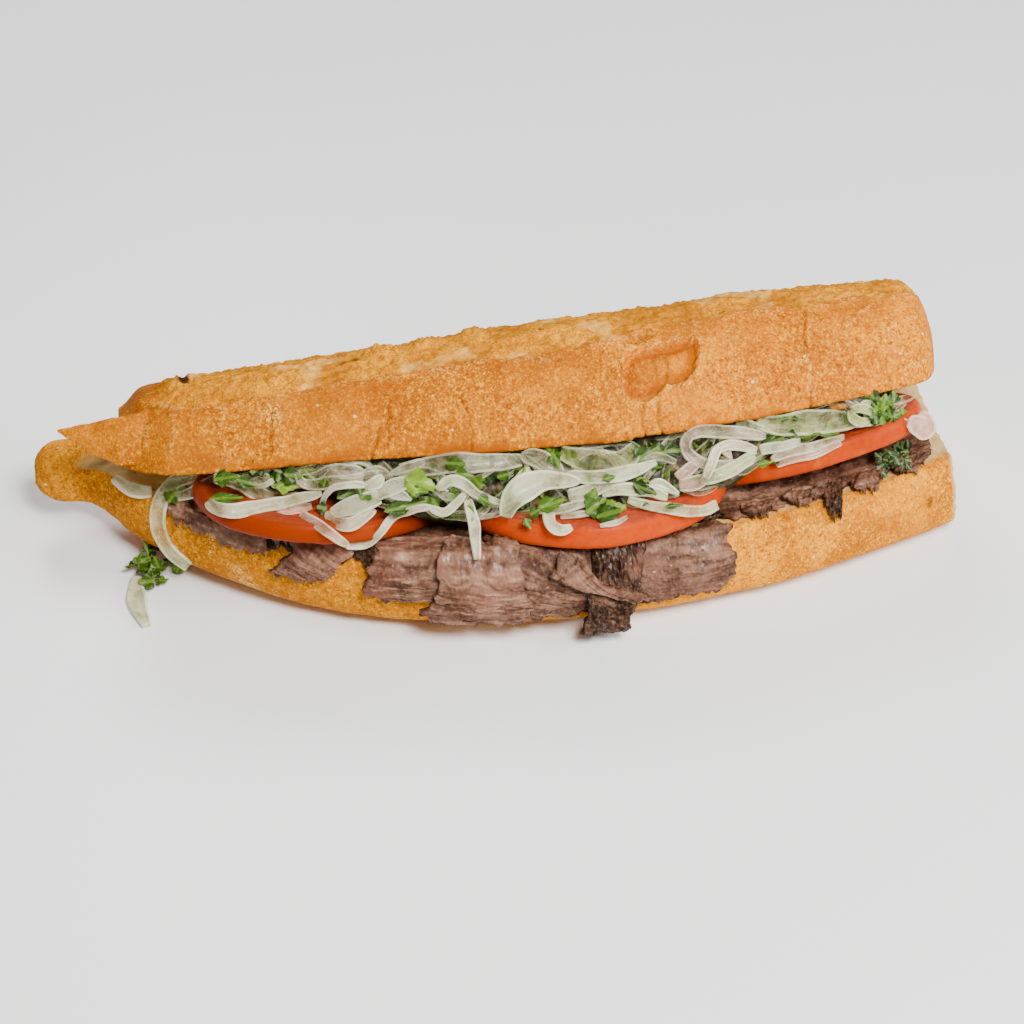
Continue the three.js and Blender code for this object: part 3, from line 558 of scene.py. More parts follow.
def dome_relief(x, share):
    """How far the crust stands out from the plain dome, and its torn, pale and browned parts, with painted
    shade in its creases, pocket and torn hollow.
    """
    spots = np.stack([x, share * ARC, 0 * x], -1)
    ragged = fractal(spots, 7, 21, 4)
    coarse = fractal(spots, 5.5, 22, 4)
    fine = fractal(spots, 1.9, 23, 3)
    broad = fractal(spots, 15, 24, 2)
    start = np.interp(x, STRIP_START_X, STRIP_START) + 0.02 * ragged + 0.012 * broad
    stop = np.interp(x, [-107, -98, -91, -84], [0.36, 0.44, 0.56, STRIP_END]) + 0.015 * ragged
    strip = smooth(share, start - 0.008, start + 0.016) * (1 - smooth(share, stop - 0.03, stop))
    ledge = smooth(share, start - 0.05, start - 0.004) * (1 - smooth(share, start - 0.004, start + 0.012))
    ledge = ledge * smooth(broad + coarse, -0.5, 0.5)
    terrace = smooth(share, start + 0.075 + 0.03 * coarse, start + 0.095 + 0.03 * coarse)
    split_x = np.interp(share, [s for _, s in SPLIT[::-1]], [x for x, _ in SPLIT[::-1]]) + 0.35 * ragged
    proud = (1 - smooth(x, split_x - 0.2, split_x + 0.25)) * (1 - smooth(share, start - 0.03, start + 0.02))
    proud = proud * smooth(x, 5, 26)
    below = smooth(share, 0.13, 0.1) * smooth(x, split_x, split_x + 0.4) * smooth(x, 42.5, 41)
    inner = depth_in(x, share, CRATER) + 0.45 * ragged + 0.25 * fine
    crater = smooth(inner, 0, 0.5)
    rim = smooth(inner, -2.2, -0.2) * (1 - smooth(inner, -0.2, 0.25)) * smooth(x, split_x, split_x + 0.5)
    pocket = smooth(depth_in(x, share, POCKET) + 0.8 * ragged, -0.4, 1.2)
    height = 1.1 * proud + 0.7 * ledge + strip * (0.65 * coarse + 0.55 * fine - 0.7 + 0.8 * terrace)
    height = height - crater * (3.3 - 1.9 * smooth(inner, 0.7, 5)) + 0.3 * rim - 2.4 * pocket - 0.7 * below
    for knob in KNOBS:
        spot = {"x": knob[0], "share": knob[1], "length": 5.5, "height": 0.06}
        height = height + 1.6 * np.maximum(0, oval(x, share, spot) + 0.4 * fine)
    crease_shade = np.zeros_like(x)
    # Each fissure is sunk, and darkened along its middle as painted shade.
    for line in FISSURES:
        away = line_distance(x + 0.7 * ragged, share, line)
        height = height - 0.8 * smooth(away, 0.55, 0) + 0.25 * smooth(away, 2.4, 0.6)
        crease_shade = np.maximum(crease_shade, smooth(away, 0.5, 0.1))
    scar = np.zeros_like(x)
    for line in SCARS:
        scar = np.maximum(scar, smooth(line_distance(x + 1.5 * coarse, share, line), 1.2, 0.2))
    height = height + 0.3 * scar
    # Painted shadow: a dark line along the split, where its proud left side steps down.
    crease_shade = np.maximum(crease_shade, 0.8 * smooth(np.abs(x - split_x - 0.3), 0.4, 0.1) * (share < start))
    near_split = smooth(np.abs(x - split_x - 0.5), 1.1, 0.2) * (share < start)
    pale = np.maximum(0.55 * rim * smooth(fine, -0.2, 0.3), 0.4 * scar * smooth(fine, -0.5, 0.2))
    pale = np.maximum(pale, 0.6 * near_split * smooth(ragged + fine, -0.1, 0.4))
    pale = np.maximum(pale, 0.5 * ledge * smooth(fine, -0.3, 0.4))
    # Painted shade: the torn hollow is darkened, most at its lower and right edges under its rim.
    edge_shade = 1 - smooth(inner, 0.4, 4)
    browning_and_shade = crater * (0.2 + 0.75 * edge_shade * smooth(x + 60 * (0.25 - share), 33, 40))
    under_strip = 0.3 * smooth(share, 0.2, 0.28) * (1 - strip) * smooth(broad, -0.3, 0.3)
    browning_and_shade = browning_and_shade + under_strip * smooth(x, 34, 20)
    browning_and_shade = browning_and_shade + smooth(share, 0.045, 0) * smooth(ragged + broad, -0.2, 0.4)
    left_patch = smooth(np.hypot(x + 86, (share - 0.05) * ARC * 1.6), 10, 3)
    browning_and_shade = browning_and_shade + 0.5 * left_patch * smooth(coarse, -0.4, 0.3)
    browning_and_shade = browning_and_shade + 0.3 * smooth(broad, 0.15, 0.5) * (1 - strip)
    strip = strip * (1 - 0.9 * smooth(x, 36, 40) * smooth(share, 0.41, 0.38) * smooth(x, 60, 54))
    fade = np.minimum(1, 1.5 * dome_ends(x))
    return height * fade, np.maximum(strip, 0.25 * below), crease_shade, pale, browning_and_shade, pocket


upper_bread = bread_material("upper_bread", (0.5, 0.13, 0.0), (0.71, 0.215, 0.0), (0.92, 0.42, 0.012))

xs = ring_places(UPPER_LEFT_X, UPPER_END_X, 470, 0.35)
shares = np.linspace(0, 1, 152)[None]
x_all, share_all = np.broadcast_arrays(xs, shares)
relief, torn, crease_shade, pale, browning_and_shade, pocket = dome_relief(x_all, share_all)
# The left end is worn down to a low round tip.
worn = 1 - 0.3 * (1 - smooth(xs, -110, -102))
cosine, sine = np.cos(shares * np.pi), np.sin(shares * np.pi)
along = -np.sign(cosine) * np.abs(cosine) ** (2 / 2.25) * (dome_wide(xs) + relief)
out = np.maximum(sine, 0) ** (2 / 2.25) * (dome_high(xs) * worn + relief)
crust = dome_place(x_all, along, out)
face = np.linspace(1, -1, 42)[None, 1:-1]
front_edge = dome_wide(xs) + relief[:, :1]
along = face * np.where(face < 0, front_edge, dome_wide(xs))
under = dome_place(np.broadcast_to(xs, along.shape), along, 3 * dome_ends(xs) * (1 - face**2))
rings = np.concatenate([crust, under], 1)


def away_from(x, share, wide):
    """Distance in mm, round the crust, from a place, with that along the loaf divided by wide."""
    return np.hypot((x_all - x) / wide, (share_all - share) * ARC)


cut = np.zeros(rings.shape[:2])
cut[:, shares.size:] = 1
cut = np.maximum(cut, smooth(rings[..., 0], 130.4, 131.2) * (rings[..., 2] < 60))
gap = np.zeros(under.shape[:2])
strip = np.concatenate([torn, gap], 1)
cloud = fractal(rings, 9, 24, 3)[:, : shares.size]
burns_and_crease_shade = smooth(np.hypot(x_all + 90, (share_all - 0.5) * ARC / 1.4), 2.4, 1.2)
for x, share, size in ((64.6, 0.406, 1), (-41.3, 0.445, 1.4), (-44.5, 0.43, 1.1), (12, 0.44, 0.9)):
    spot = smooth(away_from(x, share, 1.7), size, size * 0.4)
    burns_and_crease_shade = np.maximum(burns_and_crease_shade, 0.7 * spot)
# Painted shade: the fissures, the split and the pocket are darkened along with the burnt spots.
burns_and_crease_shade = np.maximum(burns_and_crease_shade, np.maximum(0.45 * crease_shade, 0.3 * pocket))
flour_patch = smooth(away_from(-69, 0.21, 1.6), 7, 2) * smooth(cloud, -0.1, 0.4)
pale_ledge = smooth(away_from(-64, 0.325, 1.8), 6, 1) * smooth(cloud, -0.3, 0.3)
pale = np.maximum(np.maximum(pale, 0.8 * flour_patch), 0.6 * pale_ledge)
points, faces = closed_skin(rings)
values = {
    "crumb": pad(cut),
    "strip": pad(strip),
    "scorch_and_shade": pad(np.concatenate([burns_and_crease_shade, gap], 1)),
    "flour": pad(np.concatenate([pale, gap], 1)),
    "browning_and_shade": pad(np.concatenate([browning_and_shade, gap], 1)),
}
swell = 0.35 * fractal(points, 17, 25, 2) + 0.16 * fractal(points, 5, 26, 3)
swell = swell + 0.07 * fractal(points, 1.6, 27, 2)
pits = 0.5 * fractal(points, 3, 28, 3) - 0.2

# The torn tongue of crust at the left: flat rings that taper to a tip.
TONGUE_AT = np.array([
    (-101, 17, 50.5), (-104, 16.5, 50), (-109.7, 17, 49.6),
    (-117.1, 20.5, 48.3), (-121.8, 22.8, 48.6), (-126.8, 25, 48.8),
])
TONGUE_REACH = [7.4, 7.6, 7, 4.7, 2.5, 0.5]
TONGUE_THICK = [2.2, 2.6, 2.2, 1.8, 1.3, 0.6]
steps = np.linspace(0, 5, 90)
middle = np.stack([np.interp(steps, range(6), TONGUE_AT[:, k]) for k in range(3)], -1)[:, None]
angle = np.linspace(0, 2 * np.pi, 56, endpoint=False)[None]
reach = np.interp(steps, range(6), TONGUE_REACH)[:, None] * np.cos(angle)
thick = np.interp(steps, range(6), TONGUE_THICK)[:, None] * np.sin(angle)
flap = np.stack([0 * reach, 0.7 * reach - 0.7 * thick, 0.7 * reach + 0.7 * thick], -1)
flap_points, flap_faces = closed_skin(middle + flap)
flap_values = {name: np.zeros(len(flap_points)) for name in values}
under_side = np.append((thick < -0.2).astype(float).ravel(), [0, 0])
flap_values["crumb"] = under_side
flap_swell = 0.35 * fractal(flap_points, 6, 29, 3) + 0.1 * fractal(flap_points, 1.6, 27, 2)

faces += [[k + len(points) for k in face] for face in flap_faces]
points = np.vstack([points, flap_points])
crumb = np.append(values["crumb"], flap_values["crumb"])
height = np.append(swell * (1 - values["crumb"]) + pits * values["crumb"], flap_swell)
values = {name: np.append(values[name], flap_values[name]) for name in values}
mesh = new_mesh("bread_upper", points, faces, values)
raise_points(mesh, height)
add_piece("bread_upper", mesh, upper_bread, "bread_upper_half")

# ---------------------------------------------------------------- tomato slices
# Three oval slices of a firm tomato: glossy orange-red skin round the rim, a pale pink wall of
# flesh inside it, and darker wet chambers of pulp with seeds, between a star of flesh.
# Each slice's place, turn, size, thickness and seed, and how far painted shade darkens it, most on the left
# slice.
TOMATOES = {
    "middle": {
        "at": (22.9, 2, 30.1), "turn": (-3.8, 11.2, -2),
        "size": (39.5, 31), "thickness": 7, "seed": 1, "tomato_shade": 0.1,
    },
    "left": {
        "at": (-54.7, 9.5, 29.1), "turn": (3.6, 15.7, 9.5),
        "size": (36.5, 28), "thickness": 6, "seed": 2, "tomato_shade": 1.0,
    },
    "right": {
        "at": (82.5, 17, 30.4), "turn": (-3, 18, -11),
        "size": (41.5, 25), "thickness": 6.5, "seed": 3, "tomato_shade": 0.3,
    },
}

at, finish = new_material("cut_tomato", {
    "IOR": 1.4,
    "Specular IOR Level": 0.06,
    "Coat Roughness": 0.1,
    "Subsurface Weight": 0.0,
    "Subsurface Radius": (0.002, 0.0006, 0.0003),
    "Subsurface Scale": 1.0,
})
skin = at.attribute("skin")
pulp = at.attribute("pulp")
tomato_shade = at.attribute("tomato_shade")
cloud = at.noise(0.014, 3, seed=31)
streak = at.noise(0.0016, 3, seed=32, rough=0.6)
flesh = (cloud * 0.6 + streak * 0.4).between(0.34, 0.66).mix((0.3, 0.028, 0.006), (0.52, 0.085, 0.035))
# Painted shade darkens the flesh of the shaded slices.
flesh = (tomato_shade * 0.7).mix(flesh, (0.2, 0.026, 0.004))
wet = streak.between(0.35, 0.65).mix((0.42, 0.035, 0.01), (0.62, 0.11, 0.025))
rim = (cloud * 0.7 + streak * 0.3).between(0.36, 0.64).mix((0.4, 0.03, 0.0), (0.56, 0.058, 0.0))
rim = (at.noise(0.006, 4, seed=33).between(0.6, 0.72) * 0.4).mix(rim, (0.7, 0.15, 0.02))
cut = pulp.mix(flesh, wet)
# Painted shade darkens their rims too.
rim = (tomato_shade * 0.85).mix(rim, (0.2, 0.021, 0.001))
tomato_flesh = finish({
    "Base Color": skin.mix(cut, rim),
    "Roughness": 0.4 - skin * 0.06 - pulp * 0.14,
    "Coat Weight": streak.between(0.55, 0.7) * 0.05 + pulp * 0.12,
    "Normal": (streak * (1.2 - skin) + cloud * 0.5).bump(0.3, 0.0004),
})


def turned(points, yaw, pitch, roll):
    """Turns points by the roll and pitch and then the yaw, in degrees."""
    turn = Matrix.Rotation(math.radians(yaw), 3, "Z") @ Matrix.Rotation(math.radians(roll), 3, "Y")
    turn = turn @ Matrix.Rotation(-math.radians(pitch), 3, "X")
    return points @ np.array(turn).T


for name, tomato in TOMATOES.items():
    radius, depth = tomato["size"]
    half = tomato["thickness"] / 2
    face = np.linspace(0, 1, 46) ** 0.8 * (radius - 2.4)
    bulge = np.linspace(-np.pi / 2, np.pi / 2, 19)[1:-1]
    out = np.concatenate([face, radius - 2.4 + 2.4 * np.cos(bulge), face[::-1]])
    high = np.concatenate([0 * face - half, half * np.sin(bulge), 0 * face + half])
    skin = np.concatenate([0 * face, smooth(np.cos(bulge), 0.28, 0.5), 0 * face])
    angle = np.linspace(0, 2 * np.pi, 240, endpoint=False)[None]
    out, high, skin = out[1:-1, None], high[1:-1, None], skin[1:-1, None] + 0 * angle
    share = np.minimum(1, out / (radius - 2.4))
    oval_off = 1 + 0.012 * np.sin(3 * angle + tomato["seed"]) + 0.008 * np.sin(7 * angle)
    x = out * np.cos(angle) * oval_off
    y = out * np.sin(angle) * oval_off * depth / radius
    flat = np.stack([x, y, 0 * x + tomato["seed"] * 50], -1)
    wobble = fractal(flat, 8, 31, 3)
    spokes = 0.5 + 0.5 * np.cos(5 * (angle + 0.25 * wobble) + tomato["seed"] * 2)
    chamber = smooth(share + 0.05 * wobble, 0.24, 0.36) * smooth(share + 0.05 * wobble, 0.83, 0.76)
    pulp = chamber * smooth(spokes, 0.22, 0.42) * (1 - skin)
    relief = pulp * (-0.9 + 0.5 * fractal(flat, 2.3, 33, 2)) + 0.18 * wobble * (1 - skin)
    relief = relief + 0.12 * fractal(flat, 1.3, 34, 2) * (1 - skin)
    z = high + np.sign(high) * relief * (np.abs(high) > half * 0.9)
    z = z + 0.5 * np.sin(2 * angle + tomato["seed"]) * share**2
    rings = turned(np.stack([x, y, z], -1), *tomato["turn"]) + tomato["at"]
    points, faces = closed_skin(rings)
    values = {"skin": pad(skin), "pulp": pad(pulp), "tomato_shade": pad(tomato["tomato_shade"] + 0 * skin)}
    mesh = new_mesh(f"tomato_{name}", points, faces, values)
    add_piece(f"tomato_{name}", mesh, tomato_flesh, f"tomato_slice_{name}")

# ---------------------------------------------------------------- shaved meat over the front
# Shavings cut from a roasting spit, limp over the bread's edge: grey-brown and pink lean with
# long fibres, pale threads of fat, and torn edges that the roasting turned dark and crisp.
SHAVINGS = {
    "dark": {"x": (27, 21), "reach": (-4, 24), "width": (15, 13), "lift": (2.6, 6), "seed": 7},
    "smooth": {"x": (45.4, 46.4), "reach": (-2, 14.5), "width": (30, 27), "lift": (0.8, 0.8), "seed": 9},
    "finger": {"x": (11, 31), "reach": (1, 9), "width": (9, 6), "lift": (6.2, 6.4), "seed": 4},
    "folded": {"x": (-12, -14), "reach": (-2, 15.6), "width": (22, 30), "lift": (5.2, 3.6), "seed": 5},
    "broad": {"x": (-24, -27), "reach": (-6, 11.2), "width": (34, 34), "lift": (0.8, 0.8), "seed": 2},
    "slab": {"x": (5, 2), "reach": (-5, 16.2), "width": (30, 33), "lift": (2.4, 1), "seed": 6},
    "strap": {"x": (-50, -64), "reach": (-4, 9.5), "width": (13, 15), "lift": (0.8, 0.8), "seed": 3},
}
MEAT_THICKNESS = 2.4
# How crisp, how layered and how fibrous each one is, and how its fibres slant.
CHARACTER = {
    "dark": {"crisp": 0.95, "layers": 0.5, "fibre": 1.6, "slant": 1.3},
    "smooth": {"crisp": 0.38, "layers": 0.25, "fibre": 0.45, "slant": 0.15},
    "finger": {"crisp": 0.15, "layers": 0.2, "fibre": 0.8, "slant": -0.45},
    "folded": {"crisp": 0.12, "layers": 1.0, "fibre": 0.8, "slant": 0.1},
    "broad": {"crisp": 0.15, "layers": 1.0, "fibre": 0.8, "slant": -0.1},
    "slab": {"crisp": 0.35, "layers": 0.6, "fibre": 0.8, "slant": 0.5},
    "strap": {"crisp": 0.1, "layers": 0.3, "fibre": 0.9, "slant": 0.7},
}


def drape(x, t, lift):
    """A place on the lower half: t is 0 at its lip, negative inwards and positive down the front."""
    shape = lower_shape(x)
    lip_share = lower_girth(shape, shape["lip"])
    lip_y = shape["middle"] - lip_share * shape["width"]
    across = np.minimum(-1 + np.maximum(-t, 0) / (lip_share * shape["width"]), 0.95)
    z = np.maximum(shape["rest"], shape["lip"] - np.maximum(t, 0))
    down_y = shape["middle"] - lower_girth(shape, z) * shape["width"]
    y = np.where(t < 0, lip_y - t, down_y)
    z = np.where(t < 0, lower_cut(x, across), z)
    turn = np.pi / 2 * smooth(t, -5, 5)
    return np.stack([x, y - np.sin(turn) * lift, z + np.cos(turn) * lift], -1)


def wander(t, seed):
    """A slow wave without a clear rhythm, about -1 to 1."""
    slow = 0.5 * np.sin(t + 1.7 * seed) + 0.3 * np.sin(2.3 * t + 4.1 * seed)
    return slow + 0.2 * np.sin(4.9 * t + 2.9 * seed)


at, finish = new_material("roast_meat", {
    "IOR": 1.42,
    "Specular IOR Level": 0.15,
    "Coat Roughness": 0.22,
    "Subsurface Weight": 0.06,
    "Subsurface Radius": (0.0015, 0.0006, 0.0004),
    "Subsurface Scale": 1.0,
})
fibre = at.attribute("fibre")
crisp = at.attribute("crisp")
fat = at.attribute("fat")
cloud = at.noise(0.009, 4, seed=41, rough=0.6)
blush = at.noise(0.016, 3, seed=42)
blotch = at.noise(0.0045, 4, seed=47, rough=0.65)
grain = at.noise(0.0011, 3, seed=43, rough=0.7)
fleck = at.cells(0.0024, 44).between(0.2, 0.08) * at.noise(0.008, 2, seed=45).between(0.42, 0.58)
gap = at.cells(0.0055, 46).between(0.12, 0.06)
lean = (fibre * 0.26 + cloud * 0.3 + blotch * 0.24 + grain * 0.2).between(0.38, 0.62)
lean = lean.mix((0.065, 0.025, 0.013), (0.27, 0.132, 0.08))
lean = (blush.between(0.5, 0.68) * 0.5).mix(lean, (0.23, 0.085, 0.055))
lean = (grain.between(0.5, 0.7) * 0.35).mix(lean, (0.34, 0.19, 0.12))
lean = (fat * 0.55).mix(lean, (0.5, 0.32, 0.19))
lean = (fleck * 0.6).mix(lean, (0.42, 0.28, 0.2))
lean = (gap * 0.75).mix(lean, (0.04, 0.014, 0.007))
burnt = grain.between(0.42, 0.66).mix((0.01, 0.0035, 0.0018), (0.085, 0.036, 0.014))
burnt = (fleck * 0.5).mix(burnt, (0.3, 0.2, 0.14))
roast_meat = finish({
    "Base Color": crisp.mix(lean, burnt),
    "Roughness": 0.52 - fat * 0.12 + (grain - 0.5) * 0.5,
    "Coat Weight": cloud.between(0.5, 0.66) * 0.25 + crisp * grain.between(0.5, 0.65) * 0.5,
    "Normal": (grain * 0.6 + cloud * 0.6).bump(0.5, 0.0005),
})


def sheet_faces(rows, columns, offset=0):
    """Faces of a closed slice: an upper grid of points, a lower one after it, and its rim."""
    count = rows * columns
    row, column = np.meshgrid(np.arange(rows - 1), np.arange(columns - 1), indexing="ij")
    a = (row * columns + column).ravel() + offset
    upper = np.stack([a, a + columns, a + columns + 1, a + 1], -1)
    faces = upper.tolist() + (upper[:, ::-1] + count).tolist()
    rim = list(range(columns)) + [r * columns + columns - 1 for r in range(1, rows)]
    rim += [(rows - 1) * columns + c for c in range(columns - 2, -1, -1)]
    rim += [r * columns for r in range(rows - 2, 0, -1)]
    for here, there in zip(rim, rim[1:] + rim[:1]):
        faces.append([here + offset, there + offset, there + count + offset, here + count + offset])
    return faces


def drape_slice(x, t, top, under):
    """Points of a slice over the lip: its upper side at the height top, then its under side."""
    return np.concatenate([drape(x, t, lift).reshape(-1, 3) for lift in (top, under)])


def meat_slice(
    x, reach, width, lift, seed, crisp=0.3, layers=0.5, fibre=1, slant=0,
    size=(96, 120), thick=MEAT_THICKNESS,
):
    """Points, faces and values of one limp shaving, draped over the lip."""
    rows, columns = size
    v = np.linspace(0, 1, rows)[:, None] + np.zeros((1, columns))
    u = np.linspace(-1, 1, columns)[None] + np.zeros((rows, 1))
    half = lerp(*width, v) / 2 * (1 + 0.12 * wander(v * 7 + u, seed))
    ragged = 2.2 * wander(u * 5, seed + 5) * (v - 0.5) + 2.6 * u**4 * (0.5 - v)
    flat_x = lerp(*x, v) + u * half
    flat_t = lerp(*reach, v) + ragged
    spots = np.stack([flat_x, flat_t, 0 * u + seed * 31], -1)
    tear = fractal(spots, 2.6, seed + 50, 4)
    rim = np.maximum(np.abs(u) ** 3, np.maximum(v, 1 - v) ** 3)
    flat_x = flat_x + np.sign(u) * 1.1 * tear * np.abs(u) ** 6
    flat_t = flat_t + 1.3 * tear * v**6
    along = flat_x + slant * flat_t
    across = flat_t - slant * flat_x * 0.5
    threads = fractal(np.stack([along / 9, across / 1.15, 0 * u + seed], -1), 1, seed + 51, 4)
    hairs = fractal(np.stack([along / 5, across / 0.45, 0 * u + seed], -1), 1, seed + 52, 3)
    coarse = fractal(spots, 4.5, seed + 53, 3)
    step = (across + 1.6 * fractal(spots, 9, seed + 54, 3)) / 4.6
    ledge = step - np.floor(step)
    ledges = layers * (0.9 * ledge - smooth(ledge, 0.9, 1) * 0.9)
    raised = lerp(*lift, v) + 0.5 * (1 + wander(u * 3.4 + v * 3, seed + 2))
    crusty = crisp * 1.1 * np.abs(fractal(spots, 1.7, seed + 55, 3))
    top = raised + thick * (1 - 0.55 * rim) + ledges + fibre * (0.27 * threads + 0.1 * hairs)
    top = top + 0.3 * coarse + crusty
    under = raised + 0.25 * coarse + 0.3 * rim
    points = drape_slice(flat_x, flat_t, top, under)
    edge = smooth(rim + 0.25 * tear, 0.86, 1.05)
    char = np.clip(crisp * (0.55 + 0.35 * crisp + 0.8 * coarse) + edge * (0.35 + 0.5 * crisp), 0, 1)
    fat = smooth(hairs + 0.8 * threads, 0.42, 0.8) * (1 - crisp) * layers
    fat = np.maximum(fat, smooth(ledge, 0.8, 0.93) * smooth(coarse, 0.05, 0.3) * layers * 0.9)
    values = {"fibre": 0.5 + 0.5 * threads + 0.2 * hairs, "crisp": char, "fat": fat}
    both_sides = {k: np.tile(value.ravel(), 2) for k, value in values.items()}
    return points, sheet_faces(rows, columns), both_sides


for name, place in SHAVINGS.items():
    points, faces, values = meat_slice(**place, **CHARACTER[name])
    mesh = new_mesh(f"shaving_{name}", points, faces, values)
    add_piece(f"shaving_{name}", mesh, roast_meat, f"meat_shaving_{name}")


# ---------------------------------------------------------------- the bed of meat
# Many thin shavings heaped along the loaf under the tomatoes. The heap's body is one mass; the
# shavings that show along the front lie over its edge, and a few crisp scraps dangle from it.
# Each scrap's x at the lip and at its end, how far down the front it reaches, its widths and
# lifts, its seed, and how crisp and layered it is.
SCRAPS = [
    ((-94, -95), 2.2, (11, 9), (1.4, 0.8), 11, 0.08, 1),
    ((-86, -87), 3.3, (14, 12), (1.8, 0.9), 12, 0.02, 1),
    ((-76, -77), 3.9, (14, 12), (1.8, 0.9), 19, 0.02, 1),
    ((-64.5, -65), 1.4, (12, 9), (1.8, 0.9), 20, 0.1, 0.4),
    ((70, 70), -0.5, (12, 8), (2.4, 0.9), 14, 0.45, 0.4),
    ((84, 84), -0.8, (14, 9), (2.4, 0.9), 15, 0.45, 0.4),
    ((92, 92), 3, (7, 4), (1.6, 0.6), 16, 0.8, 0.4),
    ((104, 104), 0.4, (14, 9), (1.6, 0.6), 17, 0.45, 0.4),
    ((118, 118), -0.6, (14, 10), (1.6, 0.6), 18, 0.45, 0.4),
]
SCRAP_THICKNESS = 1.9
BED_BASE = 0.6

steps = np.linspace(0, 1, 260)[None]
x = lerp(-97, 127, steps)
ends = superellipse((steps * 2 - 1) * 0.995, 4)
fray = 1.2 * wander(x * 0.9, 11) + 0.5 * wander(x * 2.7, 13)
under_shavings = 2.5 * smooth(x, -72, -66) * (1 - smooth(x, 58, 64))
dark_gap = smooth(x, -74, -70) * (1 - smooth(x, -40, -36))
front = -1.8 - fray - under_shavings + 7 * dark_gap - 1.6 * smooth(x, 60, 90) - 8 * (1 - ends)
back = -(8 + (2 * lower_shape(x)["width"] - 22) * ends)
v = np.linspace(0, 1, 90)[:, None]
t = lerp(back, front, v)
x = x + 0 * v
spots = np.stack([x, t, 0 * x], -1)
threads = fractal(np.stack([x / 10, t / 1.5, 0 * x], -1), 1, 61, 4)
coarse = fractal(spots, 6, 62, 4)
edge = np.minimum(1, np.minimum(3 * v, 3 * (1 - v)))
edge = edge * np.minimum(1, np.minimum(16 * steps, 16 * (1 - steps)))
heap = 4.6 - 2.4 * dark_gap - 1.4 * smooth(x, 50, 80) + 1.1 * wander(x * 0.5 + v * 5, 21)
heap = heap * (0.35 + 0.65 * edge)
top = BED_BASE + heap + 0.5 * threads + 0.8 * coarse
points = drape_slice(x, t, top, 0 * top + BED_BASE)
faces = sheet_faces(*x.shape)
# Crispness with painted shadow added: darker in the gap at the left and under the shavings along the front.
char = 0.2 + 0.75 * coarse + under_shavings / 4 + dark_gap + 0 * v
values = {
    "fibre": np.tile((0.5 + 0.5 * threads).ravel(), 2),
    "crisp": np.tile(char.ravel().clip(0, 1), 2),
    "fat": np.tile(smooth(threads, 0.5, 0.8).ravel() * 0.5, 2),
}
for ends_x, hang, width, lift, seed, crisp, layers in SCRAPS:
    scrap, scrap_faces, scrap_values = meat_slice(
        ends_x, (-6, hang), width, lift, seed, crisp, layers,
        fibre=0.9, size=(40, 48), thick=SCRAP_THICKNESS,
    )
    faces += [[k + len(points) for k in face] for face in scrap_faces]
    points = np.vstack([points, scrap])
    values = {k: np.append(values[k], scrap_values[k]) for k in values}
mesh = new_mesh("meat_bed", points, faces, values)
add_piece("meat_bed", mesh, roast_meat, "meat_layer")

# ---------------------------------------------------------------- the salad's heap
# The inside of the salad, between the tomatoes and the upper half: a packed mass of onion and
# herbs, coloured near black as painted shade for the depths between the strips on top of it.
HEAP_LEFT_X = -82
HEAP_RIGHT_X = 112


def dome_face(x, across):
    """A place on the upper half's cut face; across runs from -1 at its front edge to 1."""
    front = dome_wide(x) + CRACK_STEP * (1 - smooth(x, CRACK_X - 0.6, CRACK_X + 0.6))
    along = across * np.where(across < 0, front, dome_wide(x))
    return dome_place(x, along, 3 * dome_ends(x) * (1 - across**2))


def frontage(x, v, lift):
    """The open front of the salad: v is 0 on the tomatoes and 1 under the upper half's edge."""
    shape = lower_shape(x)
    lip_y = shape["middle"] - lower_girth(shape, shape["lip"]) * shape["width"]
    right = smooth(x, 50, 80)
    foot_y = lip_y + 1.5 + 6 * right + 2.5 * smooth(-x, 20, 50)
    foot = np.stack(np.broadcast_arrays(x, foot_y, 39.5 + 4 * right), -1)
    head = dome_face(x, -0.97) - np.array([0, 0, 1])
    normal = np.stack([0 * x, foot[..., 2] - head[..., 2], head[..., 1] - foot[..., 1]], -1)
    normal = normal / np.linalg.norm(normal, axis=-1, keepdims=True)
    return foot + (head - foot) * np.asarray(v)[..., None] + normal * np.asarray(lift)[..., None]


at, finish = new_material("shadowed_salad", {"IOR": 1.36, "Coat Roughness": 0.15})
cloud = at.noise(0.006, 4, seed=51, rough=0.6)
leafy = at.noise(0.005, 3, seed=52)
# Painted shade: the mass is coloured near black, as the depths between the strips look.
base = cloud.between(0.45, 0.7).mix((0.014, 0.008, 0.003), (0.16, 0.1, 0.035))
base = leafy.between(0.48, 0.6).mix(base, (0.018, 0.045, 0.004))
shadowed_salad = finish({
    "Base Color": base,
    "Roughness": cloud * 0.4 + 0.2,
    "Normal": cloud.bump(0.8, 0.001),
})

x = np.linspace(HEAP_LEFT_X, HEAP_RIGHT_X, 240)[:, None]
run = (x - HEAP_LEFT_X) / (HEAP_RIGHT_X - HEAP_LEFT_X) * 2 - 1
ends = superellipse(run * 0.995, 3.5)
v = np.linspace(-0.06, 1.02, 40)[None] * (1 - 0.5 * smooth(-x, 74, 88))
x_all, v_all = np.broadcast_arrays(x, v)
lumps = fractal(np.stack([x_all, v_all * 14, 0 * x_all], -1), 5, 55, 3)
front = frontage(x_all, v_all, 1.5 * lumps - 4.4 - 6 * (1 - ends))
shape = lower_shape(x)
back = np.minimum(front[:, :1, 1] + 30 * ends + 4, hinge_of(shape) - 8)
behind = [
    dome_face(x, -0.9)[:, 0] - np.array([0, 0, 1]) * (1 + 6 * smooth(-x, 74, 88)),
    np.concatenate([x, back, 0 * x + 41], 1),
    np.concatenate([x, back, 0 * x + 27], 1),
    np.concatenate([x, front[:, :1, 1] + 6, 0 * x + 29], 1),
]
rings = np.concatenate([front, np.stack(behind, 1)], 1)
points, faces = closed_skin(rings)
